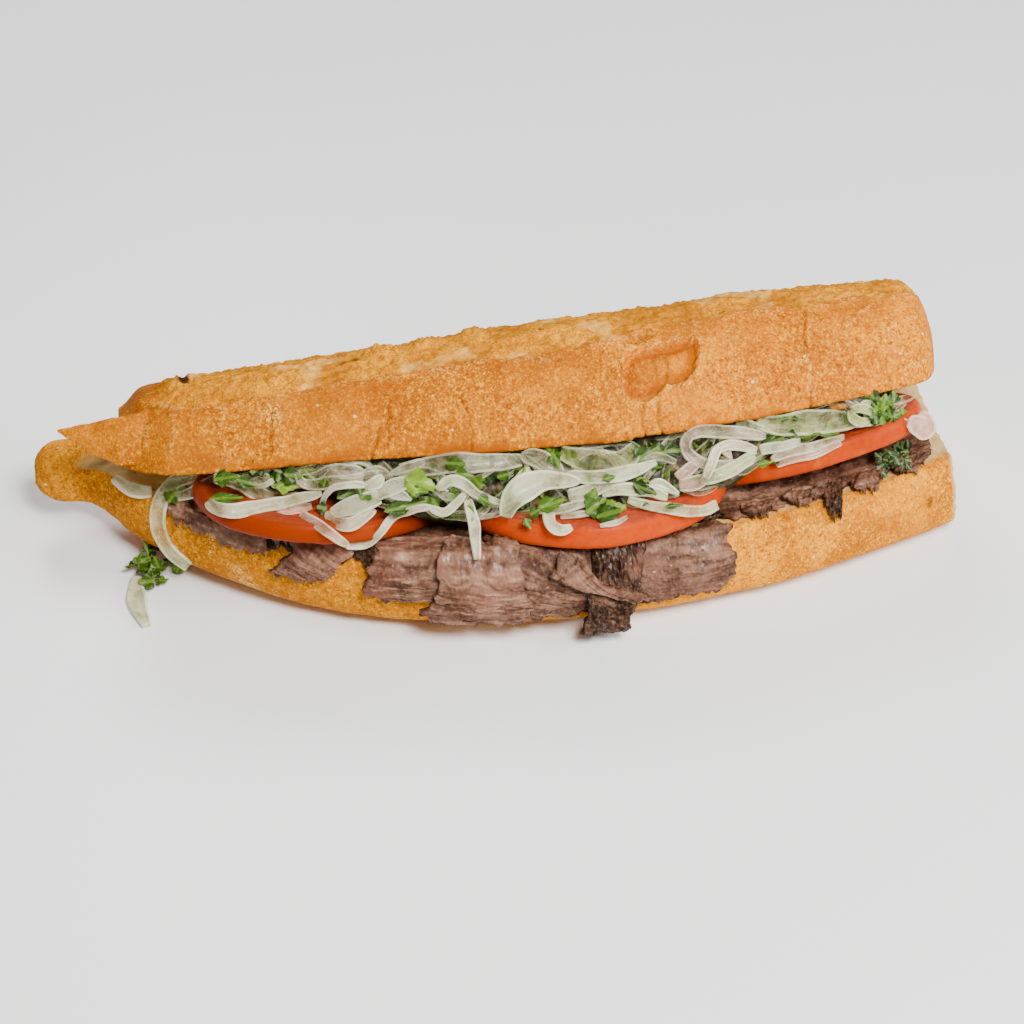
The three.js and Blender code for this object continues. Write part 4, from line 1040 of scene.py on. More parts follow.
mesh = new_mesh("salad_heap", points, faces)
add_piece("salad_heap", mesh, shadowed_salad, "onion_salad")


# ---------------------------------------------------------------- onion strips
# Onion cut into thin half rings and slivers: white and half clear, with fine veins along each
# strip, pink or pale green where a layer's skin was. Each follows a path over the heap.
IMAGE = 1024
FOCAL = IMAGE * LENS / SENSOR
PIXELS_PER_MM = 3.484
RIGHT = np.array([math.cos(AZIMUTH), math.sin(AZIMUTH), 0])
BACKWARDS = np.array(backwards)
UP = np.cross(BACKWARDS, RIGHT)


def pixel_of(point):
    """Where the camera sees a point, given in mm."""
    away = point - np.array(AIM) * 1000
    depth = DISTANCE * 1000 - away @ BACKWARDS
    return np.array([IMAGE / 2 + FOCAL * (away @ RIGHT) / depth, IMAGE / 2 - FOCAL * (away @ UP) / depth])


def before_rest(pixel, lift, other):
    """The point lift mm before what the camera sees there of the pieces made so far, if any."""
    sight = RIGHT * (pixel[0] - IMAGE / 2) - UP * (pixel[1] - IMAGE / 2) - BACKWARDS * FOCAL
    sight = Vector(sight).normalized()
    layers = bpy.context.evaluated_depsgraph_get()
    met, point, _, _, thing, _ = bpy.context.scene.ray_cast(layers, camera.location, sight)
    if not met or thing.name == "floor":
        return other
    return np.array(point) * 1000 - np.array(sight) * lift


def seen_at(pixel, lift, place=frontage, low=(-104, -0.1), high=(120, 1.05)):
    """The point of a surface, given by place(x, across, lift), that the camera sees at the pixel."""
    low, high = np.array(low), np.array(high)
    span = high - low
    spot = np.array([(pixel[0] - IMAGE / 2) / PIXELS_PER_MM, (low[1] + high[1]) / 2])
    for _ in range(12):
        here = place(*map(np.float64, spot), np.float64(lift))
        missed = pixel_of(here) - pixel
        if np.hypot(*missed) < 0.05:
            break
        slope = np.zeros((2, 2))
        for k in (0, 1):
            moved = spot.copy()
            moved[k] += span[k] / 1500
            there = place(*map(np.float64, moved), np.float64(lift))
            slope[:, k] = (pixel_of(there) - pixel_of(here)) / span[k] * 1500
        change = np.linalg.solve(slope, missed)
        spot = np.clip(spot - np.clip(change, -span / 4, span / 4), low, high)
    if np.hypot(*missed) < 2:
        return here
    return before_rest(pixel, lift, here)


# Strips that stand out: the pixels of the photograph that each runs through; its widths in mm
# at its start, middle and end; its lift off the heap at its ends and middle; and its tint, from
# -1 for green over 0 for white to 1 for pink.
STRIPS = {
    "left_shade": ([(176, 487), (192, 482), (210, 477)], (4, 5, 4), (0.4, 1), -0.25),
    "left_silver": ([(174, 498), (193, 492), (215, 480), (232, 474)], (3, 3.6, 3), (1.5, 2.4), 0.1),
    "left_crescent": (
        [(208, 501), (214, 508), (232, 511), (256, 508), (282, 503), (322, 494)],
        (3, 4.4, 3), (2, 3), -0.2,
    ),
    "left_sheet": (
        [(214, 479), (236, 482), (255, 492), (278, 500), (300, 497)],
        (3.5, 4.8, 3), (0.6, 1.6), -0.45,
    ),
    "sausage": ([(254, 487), (265, 485), (274, 480)], (1.3, 1.5, 1.3), (2.2, 3), 0),
    "grey_disc": ([(244, 476), (257, 479), (270, 477)], (3, 4.5, 3), (-0.5, 0), 0.25),
    "mauve": (
        [(296, 472), (302, 483), (318, 485), (340, 482), (364, 480)],
        (2, 3.6, 4.5), (0.2, 1), 0.35,
    ),
    "mauve_back": ([(318, 474), (340, 471), (365, 474)], (3, 4.5, 3), (-1, -0.5), 0.3),
    "ring_thin": (
        [(322, 506), (325, 496), (336, 487), (352, 484), (368, 486)],
        (1.6, 1.8, 2.2), (2, 3.2), 0.15,
    ),
    "ring_flare": ([(364, 486), (374, 484), (383, 475)], (2.2, 4, 4.2), (2, 2.6), 0.1),
    "drop_upper": ([(330, 514), (345, 508), (362, 503), (380, 496)], (3, 6, 4.5), (2, 3), 0.12),
    "drop_lower": (
        [(326, 511), (333, 521), (349, 525), (363, 518), (374, 508)],
        (2.4, 4, 3), (2.4, 3.6), 0.3,
    ),
    "shard": ([(372, 496), (386, 490), (400, 484), (413, 482)], (4, 4.8, 3), (1.6, 2.4), 0.08),
    "shard_fork": ([(384, 494), (400, 494), (412, 500)], (3, 3.2, 1.4), (1.6, 2.2), 0.1),
    "vee_pink": ([(276, 510), (292, 510), (312, 507)], (2.6, 3, 2.4), (1.2, 1.8), 0.75),
    "vee_left": ([(299, 515), (315, 524), (332, 535), (350, 547)], (3.4, 3.2, 2.2), (2, 3.4), 0.5),
    "vee_right": (
        [(346, 546), (366, 544), (383, 530), (395, 516), (412, 510), (432, 507)],
        (2, 2.4, 2.2), (3.4, 3), 0.3,
    ),
    "vee_tail": ([(428, 507), (444, 513), (455, 506), (466, 494)], (2.2, 2.4, 2), (2.6, 3), 0.1),
    "roof_sheet": (
        [(399, 471), (430, 466), (465, 463), (498, 462), (522, 461)],
        (4.5, 6, 4), (-0.4, 0.6), -0.05,
    ),
    "roof_tip": ([(386, 476), (405, 468), (425, 462)], (1, 3, 3), (0, 0.5), 0),
    "back_pale": ([(520, 455), (538, 460), (555, 470), (562, 478)], (5, 6, 3), (-0.5, 0.6), -0.25),
    "arc": (
        [(436, 490), (450, 480), (466, 486), (480, 497), (500, 503)],
        (3, 3.6, 1.6), (2.2, 3.4), -0.1,
    ),
    "arc_under": ([(436, 488), (446, 496), (462, 500)], (2.6, 3, 2), (1.4, 2), 0.05),
    "dangling": ([(468, 500), (472, 516), (475, 538), (477, 561)], (2.4, 3.3, 1.8), (3.4, 4.6), 0.15),
    "petal": (
        [(506, 520), (509, 503), (524, 488), (548, 480), (581, 482)],
        (3.5, 8.6, 3), (3.4, 4.8), -0.12,
    ),
    "roll": ([(508, 487), (517, 482), (524, 474), (531, 470)], (2, 3.2, 2), (2, 2.8), 0.15),
    "swoop": (
        [(566, 474), (590, 478), (618, 475), (640, 468), (657, 461)],
        (3, 4.6, 1.6), (2.2, 3.4), -0.12,
    ),
    "swoop_under": ([(568, 497), (588, 492), (604, 486), (625, 482)], (4, 4.2, 2.6), (1.6, 2.4), -0.05),
    "low_bar": ([(535, 511), (552, 511), (572, 507), (588, 502)], (1.6, 2.6, 2), (2.6, 3.2), 0.05),
    "low_blade": ([(560, 518), (580, 516), (604, 512)], (1.4, 2, 1.4), (1.6, 2.2), 0.25),
    "scrap_curl": ([(549, 513), (551, 526), (562, 531), (572, 527)], (3.2, 3.2, 2), (3, 3.8), 0.28),
    "pale_leaf": (
        [(560, 452), (580, 458), (600, 463), (622, 462), (636, 448)],
        (4, 8.4, 5), (0, 1), -0.62,
    ),
    "right_sheet": ([(601, 494), (622, 490), (645, 491), (668, 497)], (2.4, 4, 2.4), (1.8, 2.6), -0.4),
    "right_torn": ([(648, 485), (662, 485), (680, 494)], (3, 3.6, 1), (2, 2.6), -0.05),
    "right_long": (
        [(628, 500), (650, 506), (680, 510), (702, 511), (717, 505)],
        (2, 3.4, 3), (2.2, 3), -0.35,
    ),
    "sliver_low": ([(600, 526), (615, 523), (628, 517)], (0.8, 1.6, 1), (1.6, 2), 0.35),
    "green_back": ([(640, 462), (656, 456), (676, 462)], (1.4, 2.6, 1.6), (0.8, 1.4), 0.25),
    "stub_pink": ([(677, 478), (686, 471), (696, 464)], (3, 3.8, 3), (1.6, 2.2), 0.75),
    "slab_pink": ([(679, 485), (692, 484), (706, 480)], (3.6, 4.4, 3), (1.4, 1.8), 0.9),
    "bar_green": ([(700, 482), (720, 475), (738, 466), (755, 455)], (3, 4, 3.6), (2.4, 3.6), -0.4),
    "seven_stem": ([(705, 480), (711, 466), (716, 452), (722, 445)], (2.4, 3, 3), (3, 3.6), 0.3),
    "seven_top": ([(716, 450), (728, 445), (742, 447), (757, 451)], (3, 3.2, 2.4), (2.6, 3.2), 0.35),
    "ring_top": (
        [(767, 436), (745, 434), (722, 432), (700, 431), (688, 437)],
        (3, 4, 3.4), (0.6, 1.6), 0.4,
    ),
    "ring_side": (
        [(690, 434), (684, 446), (692, 458), (708, 465), (724, 466), (742, 465)],
        (3.2, 3.6, 3), (1.6, 2), 0.45,
    ),
    "ring_spur": ([(724, 449), (729, 456), (732, 461)], (3, 2, 0.8), (1.6, 1.8), 0.4),
    "disc": ([(756, 421), (780, 425), (808, 423), (835, 421), (853, 421)], (4, 7.4, 5), (-0.2, 1), -0.5),
    "disc_shade": ([(735, 424), (755, 430), (775, 436)], (4, 5, 3), (-0.6, 0), -0.2),
    "bar_white": ([(760, 450), (780, 446), (800, 441)], (3, 3.2, 2.6), (2, 2.8), -0.05),
    "bar_long": ([(770, 459), (792, 452), (820, 444), (844, 436)], (2.6, 3.2, 2.2), (1.6, 2.4), 0.1),
    "bar_low": ([(776, 465), (800, 457), (825, 449), (842, 442)], (2, 3, 2), (1, 1.4), 0.6),
    "end_petal": ([(908, 422), (917, 426), (928, 430), (938, 433)], (4, 7.4, 4.6), (2.2, 3.2), 0.8),
    "end_bar": ([(852, 424), (872, 421), (892, 421), (910, 424)], (2.4, 3.6, 2), (0.8, 1.4), -0.1),
    "grey_lobe": ([(860, 408), (866, 404), (871, 401)], (2.4, 3.2, 2), (1.4, 2), 0.15),
    "frill_low": ([(849, 410), (852, 419), (862, 423), (871, 419)], (2.6, 3.4, 2), (1.6, 2.6), -0.95),
    "frill_high": ([(850, 411), (860, 408), (870, 411), (873, 417)], (2.2, 3, 2), (1.8, 2.8), -0.95),
}


def lay_path(points, widths, tint, facing, painted_light=0.5):
    """Adds one path to the strips: points in mm; each end is cut off, rounded or drawn out."""
    share = np.linspace(0, 1, len(points))
    full = np.interp(share, (0, 0.5, 1), widths)
    blunt = draw.choice((0.05, 0.45, 0.8), 2)
    end = np.minimum(np.minimum(1, blunt[0] + 8 * share), np.minimum(1, blunt[1] + 8 * (1 - share)))
    first = len(paths["points"])
    paths["painted_light"] += [painted_light] * len(points)
    paths["points"] += [tuple(point) for point in points]
    paths["edges"] += [(first + k, first + k + 1) for k in range(len(points) - 1)]
    paths["width"] += list(full * np.sqrt(end * (2 - end)))
    paths["tint"] += [tint] * len(points)
    paths["facing"] += [tuple(direction) for direction in facing]


def along_curve(points, count):
    """Evenly shared points of a smooth curve through the given ones."""
    points = np.asarray(points, float)
    padded = np.vstack([2 * points[0] - points[1], points, 2 * points[-1] - points[-2]])
    found = []
    for place in np.linspace(0, len(points) - 1, count):
        k = min(int(place), len(points) - 2)
        t = place - k
        a, b, c, d = padded[k:k + 4]
        curve = (-a + 3 * b - 3 * c + d) * t**3 + (2 * a - 5 * b + 4 * c - d) * t**2 + (c - a) * t + 2 * b
        found.append(curve / 2)
    return np.array(found)


def kept_near(points):
    """The points, each moved along its line of sight to within 4 mm of the depth of the last one."""
    eye = np.array(AIM) * 1000 + DISTANCE * 1000 * BACKWARDS
    kept = points[:1]
    for point in points[1:]:
        sight = (point - eye) / ((eye - point) @ BACKWARDS)
        nearer = (point - kept[-1]) @ BACKWARDS
        kept.append(point + sight * (nearer - np.clip(nearer, -4, 4)))
    return kept


draw = np.random.default_rng(7)
paths = {label: [] for label in ("points", "edges", "width", "tint", "painted_light", "facing")}
COUNT = 20  # places on each strip's path
for pixels, widths, lifts, tint in STRIPS.values():
    share = np.linspace(0, 1, len(pixels))
    lifted = lifts[0] + (lifts[1] - lifts[0]) * 4 * share * (1 - share)
    seen = [seen_at(pixel, lift) for pixel, lift in zip(pixels, lifted)]
    points = along_curve(kept_near(seen), COUNT)
    turn = np.linspace(-1, 1, COUNT) * draw.uniform(-0.4, 0.4) + draw.uniform(-0.25, 0.25)
    facing = np.stack([0.3 * turn, -0.75 + 0.2 * turn, 0.65 + 0.4 * turn], -1)
    # Painted light: the higher a strip is lifted, the lighter it is painted.
    lay_path(points, widths, tint, facing, 0.55 + 0.12 * lifts[0] + draw.uniform(-0.15, 0.1))

# The rest of the heap's surface: short strips tucked in at random under those above.
for k in range(90):
    x = -90 + 204 * (k + draw.random()) / 90
    v = draw.uniform(0.02, 0.98) * (1 - 0.75 * (x < -72))
    length = draw.uniform(6, 18)
    slope = draw.uniform(-0.7, 0.7)
    share = np.linspace(0, 1, COUNT)
    bow = 4 * share * (1 - share)
    xs = x + (share - 0.5) * length
    vs = v + slope * (share - 0.5) + draw.uniform(-0.4, 0.4) * bow
    vs = np.clip(vs, -0.02, 1.02 - 0.8 * smooth(-xs, 66, 80))
    points = frontage(xs, vs, -4.4 + draw.uniform(1.2, 4) * bow)
    turn = np.linspace(-1, 1, COUNT) * draw.uniform(-0.9, 0.9) + draw.uniform(-0.8, 0.8)
    facing = np.stack([0.3 * turn, -0.7 + 0.4 * turn, 0.7 + 0.4 * turn], -1)
    width = draw.uniform(1.4, 3.6)
    widths = (width * 0.6, width, width * 0.5)
    # Painted shade: these low strips get little painted light.
    lay_path(points, widths, draw.uniform(-0.7, 0.6), facing, draw.uniform(0, 0.45))


at, finish = new_material("onion_flesh", {
    "IOR": 1.38,
    "Specular IOR Level": 0.35,
    "Coat Roughness": 0.12,
    "Subsurface Weight": 0.2,
    "Subsurface Radius": (0.002, 0.002, 0.0014),
    "Subsurface Scale": 1.0,
})
across = at.attribute("across")
along = at.attribute("along")
tint = at.attribute("tint")
painted_light = at.attribute("painted_light")
vein = across.node("ShaderNodeCombineXYZ", None, {0: across * 14, 1: along * 2, 2: tint * 9})
vein = vein.node("ShaderNodeTexNoise", None, {"Vector": vein, "Scale": 1.0, "Detail": 2.0, "Roughness": 0.5})
cloud = at.noise(0.006, 3, seed=61)
speckle = at.noise(0.0009, 2, seed=62)
stain = at.noise(0.008, 2, seed=63)
# Painted light lightens the tone and raises the opacity of the lit strips.
tone = (vein * 0.16 + cloud * 0.66 + speckle * 0.18 + (painted_light - 0.5) * 0.2).between(0.34, 0.62)
white = tone.mix((0.32, 0.25, 0.1), (0.76, 0.75, 0.49))
pink = tone.mix((0.38, 0.17, 0.1), (0.78, 0.48, 0.35))
green = tone.mix((0.22, 0.23, 0.04), (0.64, 0.67, 0.24))
colour = tint.between(0.05, 0.8).mix(white, pink)
colour = (tint * -1).between(0.05, 0.8).mix(colour, green)
colour = (stain.between(0.58, 0.66) * 0.6).mix(colour, (0.16, 0.26, 0.015))
rim = ((across - 0.5) * (across - 0.5)).between(0.13, 0.23)
colour = (rim * 0.45).mix(colour, (0.88, 0.88, 0.66))
onion_flesh = finish({
    "Base Color": colour,
    "Roughness": 0.42 - vein * 0.16,
    "Coat Weight": cloud.between(0.46, 0.58) * 0.6,
    "Alpha": 0.05 + tone * 0.24 + painted_light.between(0.55, 1.05) * 0.34 + rim * 0.24,
    "Normal": (vein * 0.4 + speckle * 0.3).bump(0.2, 0.0003),
})


class Tree:
    """A Geometry Nodes tree being built, with named inputs for its sizes."""

    def __init__(self, name):
        self.tree = bpy.data.node_groups.new(name, "GeometryNodeTree")
        self.tree.interface.new_socket("Geometry", in_out="INPUT", socket_type="NodeSocketGeometry")
        self.tree.interface.new_socket("Geometry", in_out="OUTPUT", socket_type="NodeSocketGeometry")
        self.start = self.tree.nodes.new("NodeGroupInput")
        self.identifiers = {}

    def size(self, name, kind="NodeSocketFloat"):
        socket = self.tree.interface.new_socket(name, in_out="INPUT", socket_type=kind)
        self.identifiers[name] = socket.identifier
        return self.start.outputs[name]

    def node(self, kind, settings=None, sockets=None, output=0):
        made = self.tree.nodes.new(kind)
        for name, value in (settings or {}).items():
            setattr(made, name, value)
        for name, value in (sockets or {}).items():
            if isinstance(value, bpy.types.NodeSocket):
                self.tree.links.new(value, made.inputs[name])
            else:
                made.inputs[name].default_value = value
        return made.outputs[output]

    def named(self, name, kind="FLOAT"):
        return self.node("GeometryNodeInputNamedAttribute", {"data_type": kind}, {"Name": name})

    def waved(self, geometry, size, amount, seed=0.0):
        """Moves the points by a smooth wave of that size in metres."""
        sockets = {"Scale": 1 / size, "Detail": 1.0, "W": seed}
        cloud = self.node("ShaderNodeTexNoise", {"noise_dimensions": "4D"}, sockets, 1)
        middle = {0: cloud, 1: (0.5, 0.5, 0.5)}
        offset = self.node("ShaderNodeVectorMath", {"operation": "SUBTRACT"}, middle)
        offset = self.node("ShaderNodeVectorMath", {"operation": "SCALE"}, {0: offset, "Scale": amount})
        return self.node("GeometryNodeSetPosition", None, {"Geometry": geometry, "Offset": offset})

    def store(self, geometry, name, value):
        sockets = {"Geometry": geometry, "Name": name, "Value": value}
        return self.node("GeometryNodeStoreNamedAttribute", None, sockets)

    def curves(self):
        """Smooth curves along the edges that the tree is given."""
        curves = self.node("GeometryNodeMeshToCurve", None, {"Mesh": self.start.outputs["Geometry"]})
        settings = {"spline_type": "CATMULL_ROM"}
        return self.node("GeometryNodeCurveSplineType", settings, {"Curve": curves})

    def end(self, geometry, material):
        geometry = self.node("GeometryNodeRealizeInstances", None, {"Geometry": geometry})
        geometry = self.node("GeometryNodeSetMaterial", None, {"Geometry": geometry, "Material": material})
        out = self.tree.nodes.new("NodeGroupOutput")
        self.tree.links.new(geometry, out.inputs[0])

    def run(self, mesh, sizes):
        """The tree's result on a mesh, as a plain mesh."""
        carrier = bpy.data.objects.new("carrier", mesh)
        bpy.context.scene.collection.objects.link(carrier)
        modifier = carrier.modifiers.new("nodes", "NODES")
        modifier.node_group = self.tree
        for name, value in sizes.items():
            modifier[self.identifiers[name]] = value
        graph = bpy.context.evaluated_depsgraph_get()
        made = bpy.data.meshes.new_from_object(carrier.evaluated_get(graph), depsgraph=graph)
        bpy.data.objects.remove(carrier)
        made.shade_smooth()
        return made


# Each path becomes a thin ribbon whose flat side turns to its facing and is a little hollow,
# as a layer of an onion is. It is waved, and later thickened to both sides and rounded.
ribbons = Tree("onion_ribbons")
spacing = ribbons.size("Spacing")
wave = ribbons.size("Wave")
hollow = ribbons.size("Hollow")
sockets = {"Curve": ribbons.curves(), "Length": spacing}
curves = ribbons.node("GeometryNodeResampleCurve", {"mode": "LENGTH"}, sockets)
sockets = {"Curve": curves, "Normal": ribbons.named("facing", "FLOAT_VECTOR")}
curves = ribbons.node("GeometryNodeSetCurveNormal", {"mode": "FREE"}, sockets)
curves = ribbons.store(curves, "along", ribbons.node("GeometryNodeSplineParameter"))
section = ribbons.node("GeometryNodeCurvePrimitiveLine", None, {"Start": (0, -0.5, 0), "End": (0, 0.5, 0)})
section = ribbons.node("GeometryNodeResampleCurve", None, {"Curve": section, "Count": 7})
across = ribbons.node("GeometryNodeSplineParameter")
section = ribbons.store(section, "across", across)
centred = ribbons.node("ShaderNodeMath", {"operation": "SUBTRACT"}, {0: across, 1: 0.5})
squared = ribbons.node("ShaderNodeMath", {"operation": "MULTIPLY"}, {0: centred, 1: centred})
sunk = ribbons.node("ShaderNodeMath", {"operation": "MULTIPLY"}, {0: squared, 1: hollow})
offset = ribbons.node("ShaderNodeCombineXYZ", None, {0: sunk})
section = ribbons.node("GeometryNodeSetPosition", None, {"Geometry": section, "Offset": offset})
sizes = {"Curve": curves, "Profile Curve": section, "Scale": ribbons.named("width")}
strips = ribbons.node("GeometryNodeCurveToMesh", None, sizes)
strips = ribbons.waved(strips, 0.007, wave)
ribbons.end(strips, onion_flesh)


def path_mesh(name):
    """The laid paths as a mesh of edges that carries their widths, tints, painted light and facings."""
    carrier = bpy.data.meshes.new(name)
    carrier.from_pydata((np.array(paths["points"]) * MM).tolist(), paths["edges"], [])
    for label in ("width", "tint", "painted_light"):
        scale = MM if label == "width" else 1
        layer = carrier.attributes.new(label, "FLOAT", "POINT")
        layer.data.foreach_set("value", np.array(paths[label], np.float32) * scale)
    layer = carrier.attributes.new("facing", "FLOAT_VECTOR", "POINT")
    layer.data.foreach_set("vector", np.array(paths["facing"], np.float32).ravel())
    return carrier


def onion_piece(name, path_name, sizes, thickness, node=None):
    """One piece made of the laid paths, thickened and rounded; then the paths are cleared."""
    mesh = ribbons.run(path_mesh(path_name), dict(zip(("Spacing", "Wave", "Hollow"), sizes)))
    piece = add_piece(name, mesh, None, node)
    thicken = piece.modifiers.new("thicken", "SOLIDIFY")
    thicken.thickness = thickness
    thicken.offset = 0
    rounded = piece.modifiers.new("rounded", "SUBSURF")
    rounded.levels = rounded.render_levels = 1
    for values in paths.values():
        values.clear()


onion_piece("onion_strips", "onion_paths", (0.00145, 0.0016, 0.8), 0.001, "onion_salad")


# ---------------------------------------------------------------- the amber bit
# A small smooth bean-shaped bit, amber and glossy, stuck under the crust's front edge near the
# right end, and lying along it.
BEAN_AT = (838, 406)
BEAN_ROWS = 13
BEAN_ROUND = 24
at, finish = new_material("amber_bit", {
    "Specular IOR Level": 0.3,
    "Coat Weight": 0.3,
    "Coat Roughness": 0.15,
})
tint = at.noise(0.0015, 2, seed=75).between(0.35, 0.65)
amber_bit = finish({"Base Color": tint.mix((0.6, 0.17, 0.0), (0.85, 0.36, 0.0))})

angles = np.linspace(0, 2 * np.pi, BEAN_ROUND, endpoint=False)[None]
height = np.linspace(-1, 1, BEAN_ROWS)[:, None]
round_off = np.sqrt(1 - np.minimum(height**2, 0.999))
length = (height * 2.9 + 0 * angles)[..., None]
depth = (1.15 * round_off * np.cos(angles))[..., None]
rise = (1.2 * round_off * np.sin(angles))[..., None] + 0.1 * height[..., None]
bean = before_rest(BEAN_AT, -0.1, np.array([95, -8, 50])) + length * RIGHT + depth * BACKWARDS + rise * UP
faces = []
for row in range(BEAN_ROWS - 1):
    for k in range(BEAN_ROUND):
        here, after = row * BEAN_ROUND + k, row * BEAN_ROUND + (k + 1) % BEAN_ROUND
        faces.append([here, after, after + BEAN_ROUND, here + BEAN_ROUND])
faces.append(list(range(BEAN_ROUND - 1, -1, -1)))
faces.append(list(range((BEAN_ROWS - 1) * BEAN_ROUND, BEAN_ROWS * BEAN_ROUND)))
add_piece("amber_bit", new_mesh("amber_bit", bean.reshape(-1, 3), faces), amber_bit)


# ---------------------------------------------------------------- parsley
# Chopped flat parsley, through the salad and on top of it: small lobed leaves, torn and folded,
# fresh green with paler veins, and a few bits of stem.
at, finish = new_material("parsley_leaf", {
    "Specular IOR Level": 0.3,
    "Subsurface Weight": 0.1,
    "Subsurface Radius": (0.0008, 0.0014, 0.0003),
    "Subsurface Scale": 1.0,
})
tone = at.attribute("tone")
side = at.attribute("side")
out = at.attribute("out")
cloud = at.noise(0.002, 3, seed=71)
grain = at.noise(0.0007, 2, seed=72)
shade = tone + cloud * 0.9 - 0.45
green = shade.between(0.0, 0.75).mix((0.006, 0.02, 0.001), (0.055, 0.13, 0.003))
green = (shade + out * 0.25).between(0.8, 1.3).mix(green, (0.2, 0.32, 0.01))
vein = (side * side).between(0.012, 0.002) * 0.5
green = (vein * 0.7 + grain.between(0.56, 0.7) * 0.2).mix(green, (0.24, 0.36, 0.04))
parsley_leaf = finish({
    "Base Color": green,
    "Roughness": 0.5 - cloud * 0.2,
    "Normal": (grain * 0.5 + cloud).bump(0.5, 0.0005),
})

# One leaf, 1 long: a fan of three toothed lobes round its stalk's end, folded along its middle.
TIPS = 19
angle = np.linspace(-1.25, 1.25, TIPS)
lobes = 0.76 + 0.24 * np.cos(2.55 * angle) ** 2
teeth = 1 - 0.07 * (np.arange(TIPS) % 2) - 0.25 * (np.abs(angle) / 1.25) ** 3
share = np.array([0.0, 0.35, 0.7, 1.0])[:, None]
reach = share * (lobes * teeth)[None]
crease = 0.1 * np.abs(np.sin(angle))[None] * reach + 0.1 * share**2 * np.cos(7 * angle)[None] * reach
leaf_points = np.stack([reach * np.cos(angle), reach * np.sin(angle), crease - 0.12 * reach**2], -1)
leaf_faces = []
for row in range(3):
    for k in range(TIPS - 1):
        a = row * TIPS + k
        leaf_faces.append([a, a + TIPS, a + TIPS + 1, a + 1])
leaf_mesh = new_mesh("leaf", leaf_points.reshape(-1, 3) / MM, leaf_faces, {
    "side": (share * np.sin(angle)[None] * 0.5).ravel(),
    "out": (share + 0 * reach).ravel(),
})
leaf_form = bpy.data.objects.new("leaf_form", leaf_mesh)
bpy.context.scene.collection.objects.link(leaf_form)

# Leaves stand on points, lengthwise along heading and with their upper sides to facing.
leaves = Tree("parsley_leaves")
leaf_kind = leaves.size("Leaf", "NodeSocketObject")
crumple = leaves.size("Crumple")
spots = leaves.node("GeometryNodeMeshToPoints", None, {"Mesh": leaves.start.outputs["Geometry"]})
labels = ("facing", "heading", "size")
facing, heading, leaf_size = [leaves.named(label, "FLOAT_VECTOR") for label in labels]
turned_up = leaves.node("FunctionNodeAlignRotationToVector", {"axis": "Z"}, {"Vector": facing})
sockets = {"Rotation": turned_up, "Vector": heading}
turned_on = leaves.node("FunctionNodeAlignRotationToVector", {"axis": "X", "pivot_axis": "Z"}, sockets)
form = leaves.node("GeometryNodeObjectInfo", None, {"Object": leaf_kind}, 4)
sockets = {"Points": spots, "Instance": form, "Rotation": turned_on, "Scale": leaf_size}
green_bits = leaves.node("GeometryNodeInstanceOnPoints", None, sockets)
green_bits = leaves.node("GeometryNodeRealizeInstances", None, {"Geometry": green_bits})
green_bits = leaves.waved(green_bits, 0.0032, crumple, 3.0)
# No leaf goes below the floor.
sockets = {0: leaves.node("GeometryNodeInputPosition"), 1: (-1, -1, 0.0004)}
above_floor = leaves.node("ShaderNodeVectorMath", {"operation": "MAXIMUM"}, sockets)
sockets = {"Geometry": green_bits, "Position": above_floor}
green_bits = leaves.node("GeometryNodeSetPosition", None, sockets)
leaves.end(green_bits, parsley_leaf)


def leaf_bed(name, bits):
    """Leaves made by the tree; bits is a list of (point, heading, facing, length, width, tone)."""
    carrier = bpy.data.meshes.new(name)
    carrier.from_pydata([tuple(bit[0] * MM) for bit in bits], [], [])
    vectors = {"heading": [bit[1] for bit in bits], "facing": [bit[2] for bit in bits]}
    vectors["size"] = [(bit[3] * MM, bit[4] * MM, bit[3] * MM) for bit in bits]
    for label, values in vectors.items():
        layer = carrier.attributes.new(label, "FLOAT_VECTOR", "POINT")
        layer.data.foreach_set("vector", np.array(values, np.float32).ravel())
    layer = carrier.attributes.new("tone", "FLOAT", "POINT")
    layer.data.foreach_set("value", np.array([bit[5] for bit in bits], np.float32))
    return leaves.run(carrier, {"Leaf": leaf_form, "Crumple": 0.0011})


def seen_leaf(pixel, angle, length, width, lift, tone, **where):
    """A leaf whose stalk end is seen at the pixel and which points at that angle, in degrees."""
    turn = math.radians(angle)
    heading = math.cos(turn) * RIGHT + math.sin(turn) * UP
    lean = draw.uniform(-0.35, 0.35, 3)
    return seen_at(pixel, lift, **where), heading, BACKWARDS + lean, length, width, tone


def leaf_clump(count, across, down, slope, middle, sizes, lifts, tones, **where):
    """Small leaves at random on a patch of the picture that slopes about its middle."""
    for _ in range(count):
        x, y = draw.uniform(*across), draw.uniform(*down)
        pixel = (x, y + slope * (x - middle))
        size = draw.uniform(*sizes)
        angle, lift, tone = draw.uniform(0, 360), draw.uniform(*lifts), draw.uniform(*tones)
        bits.append(seen_leaf(pixel, angle, size, size * 0.8, lift, tone, **where))


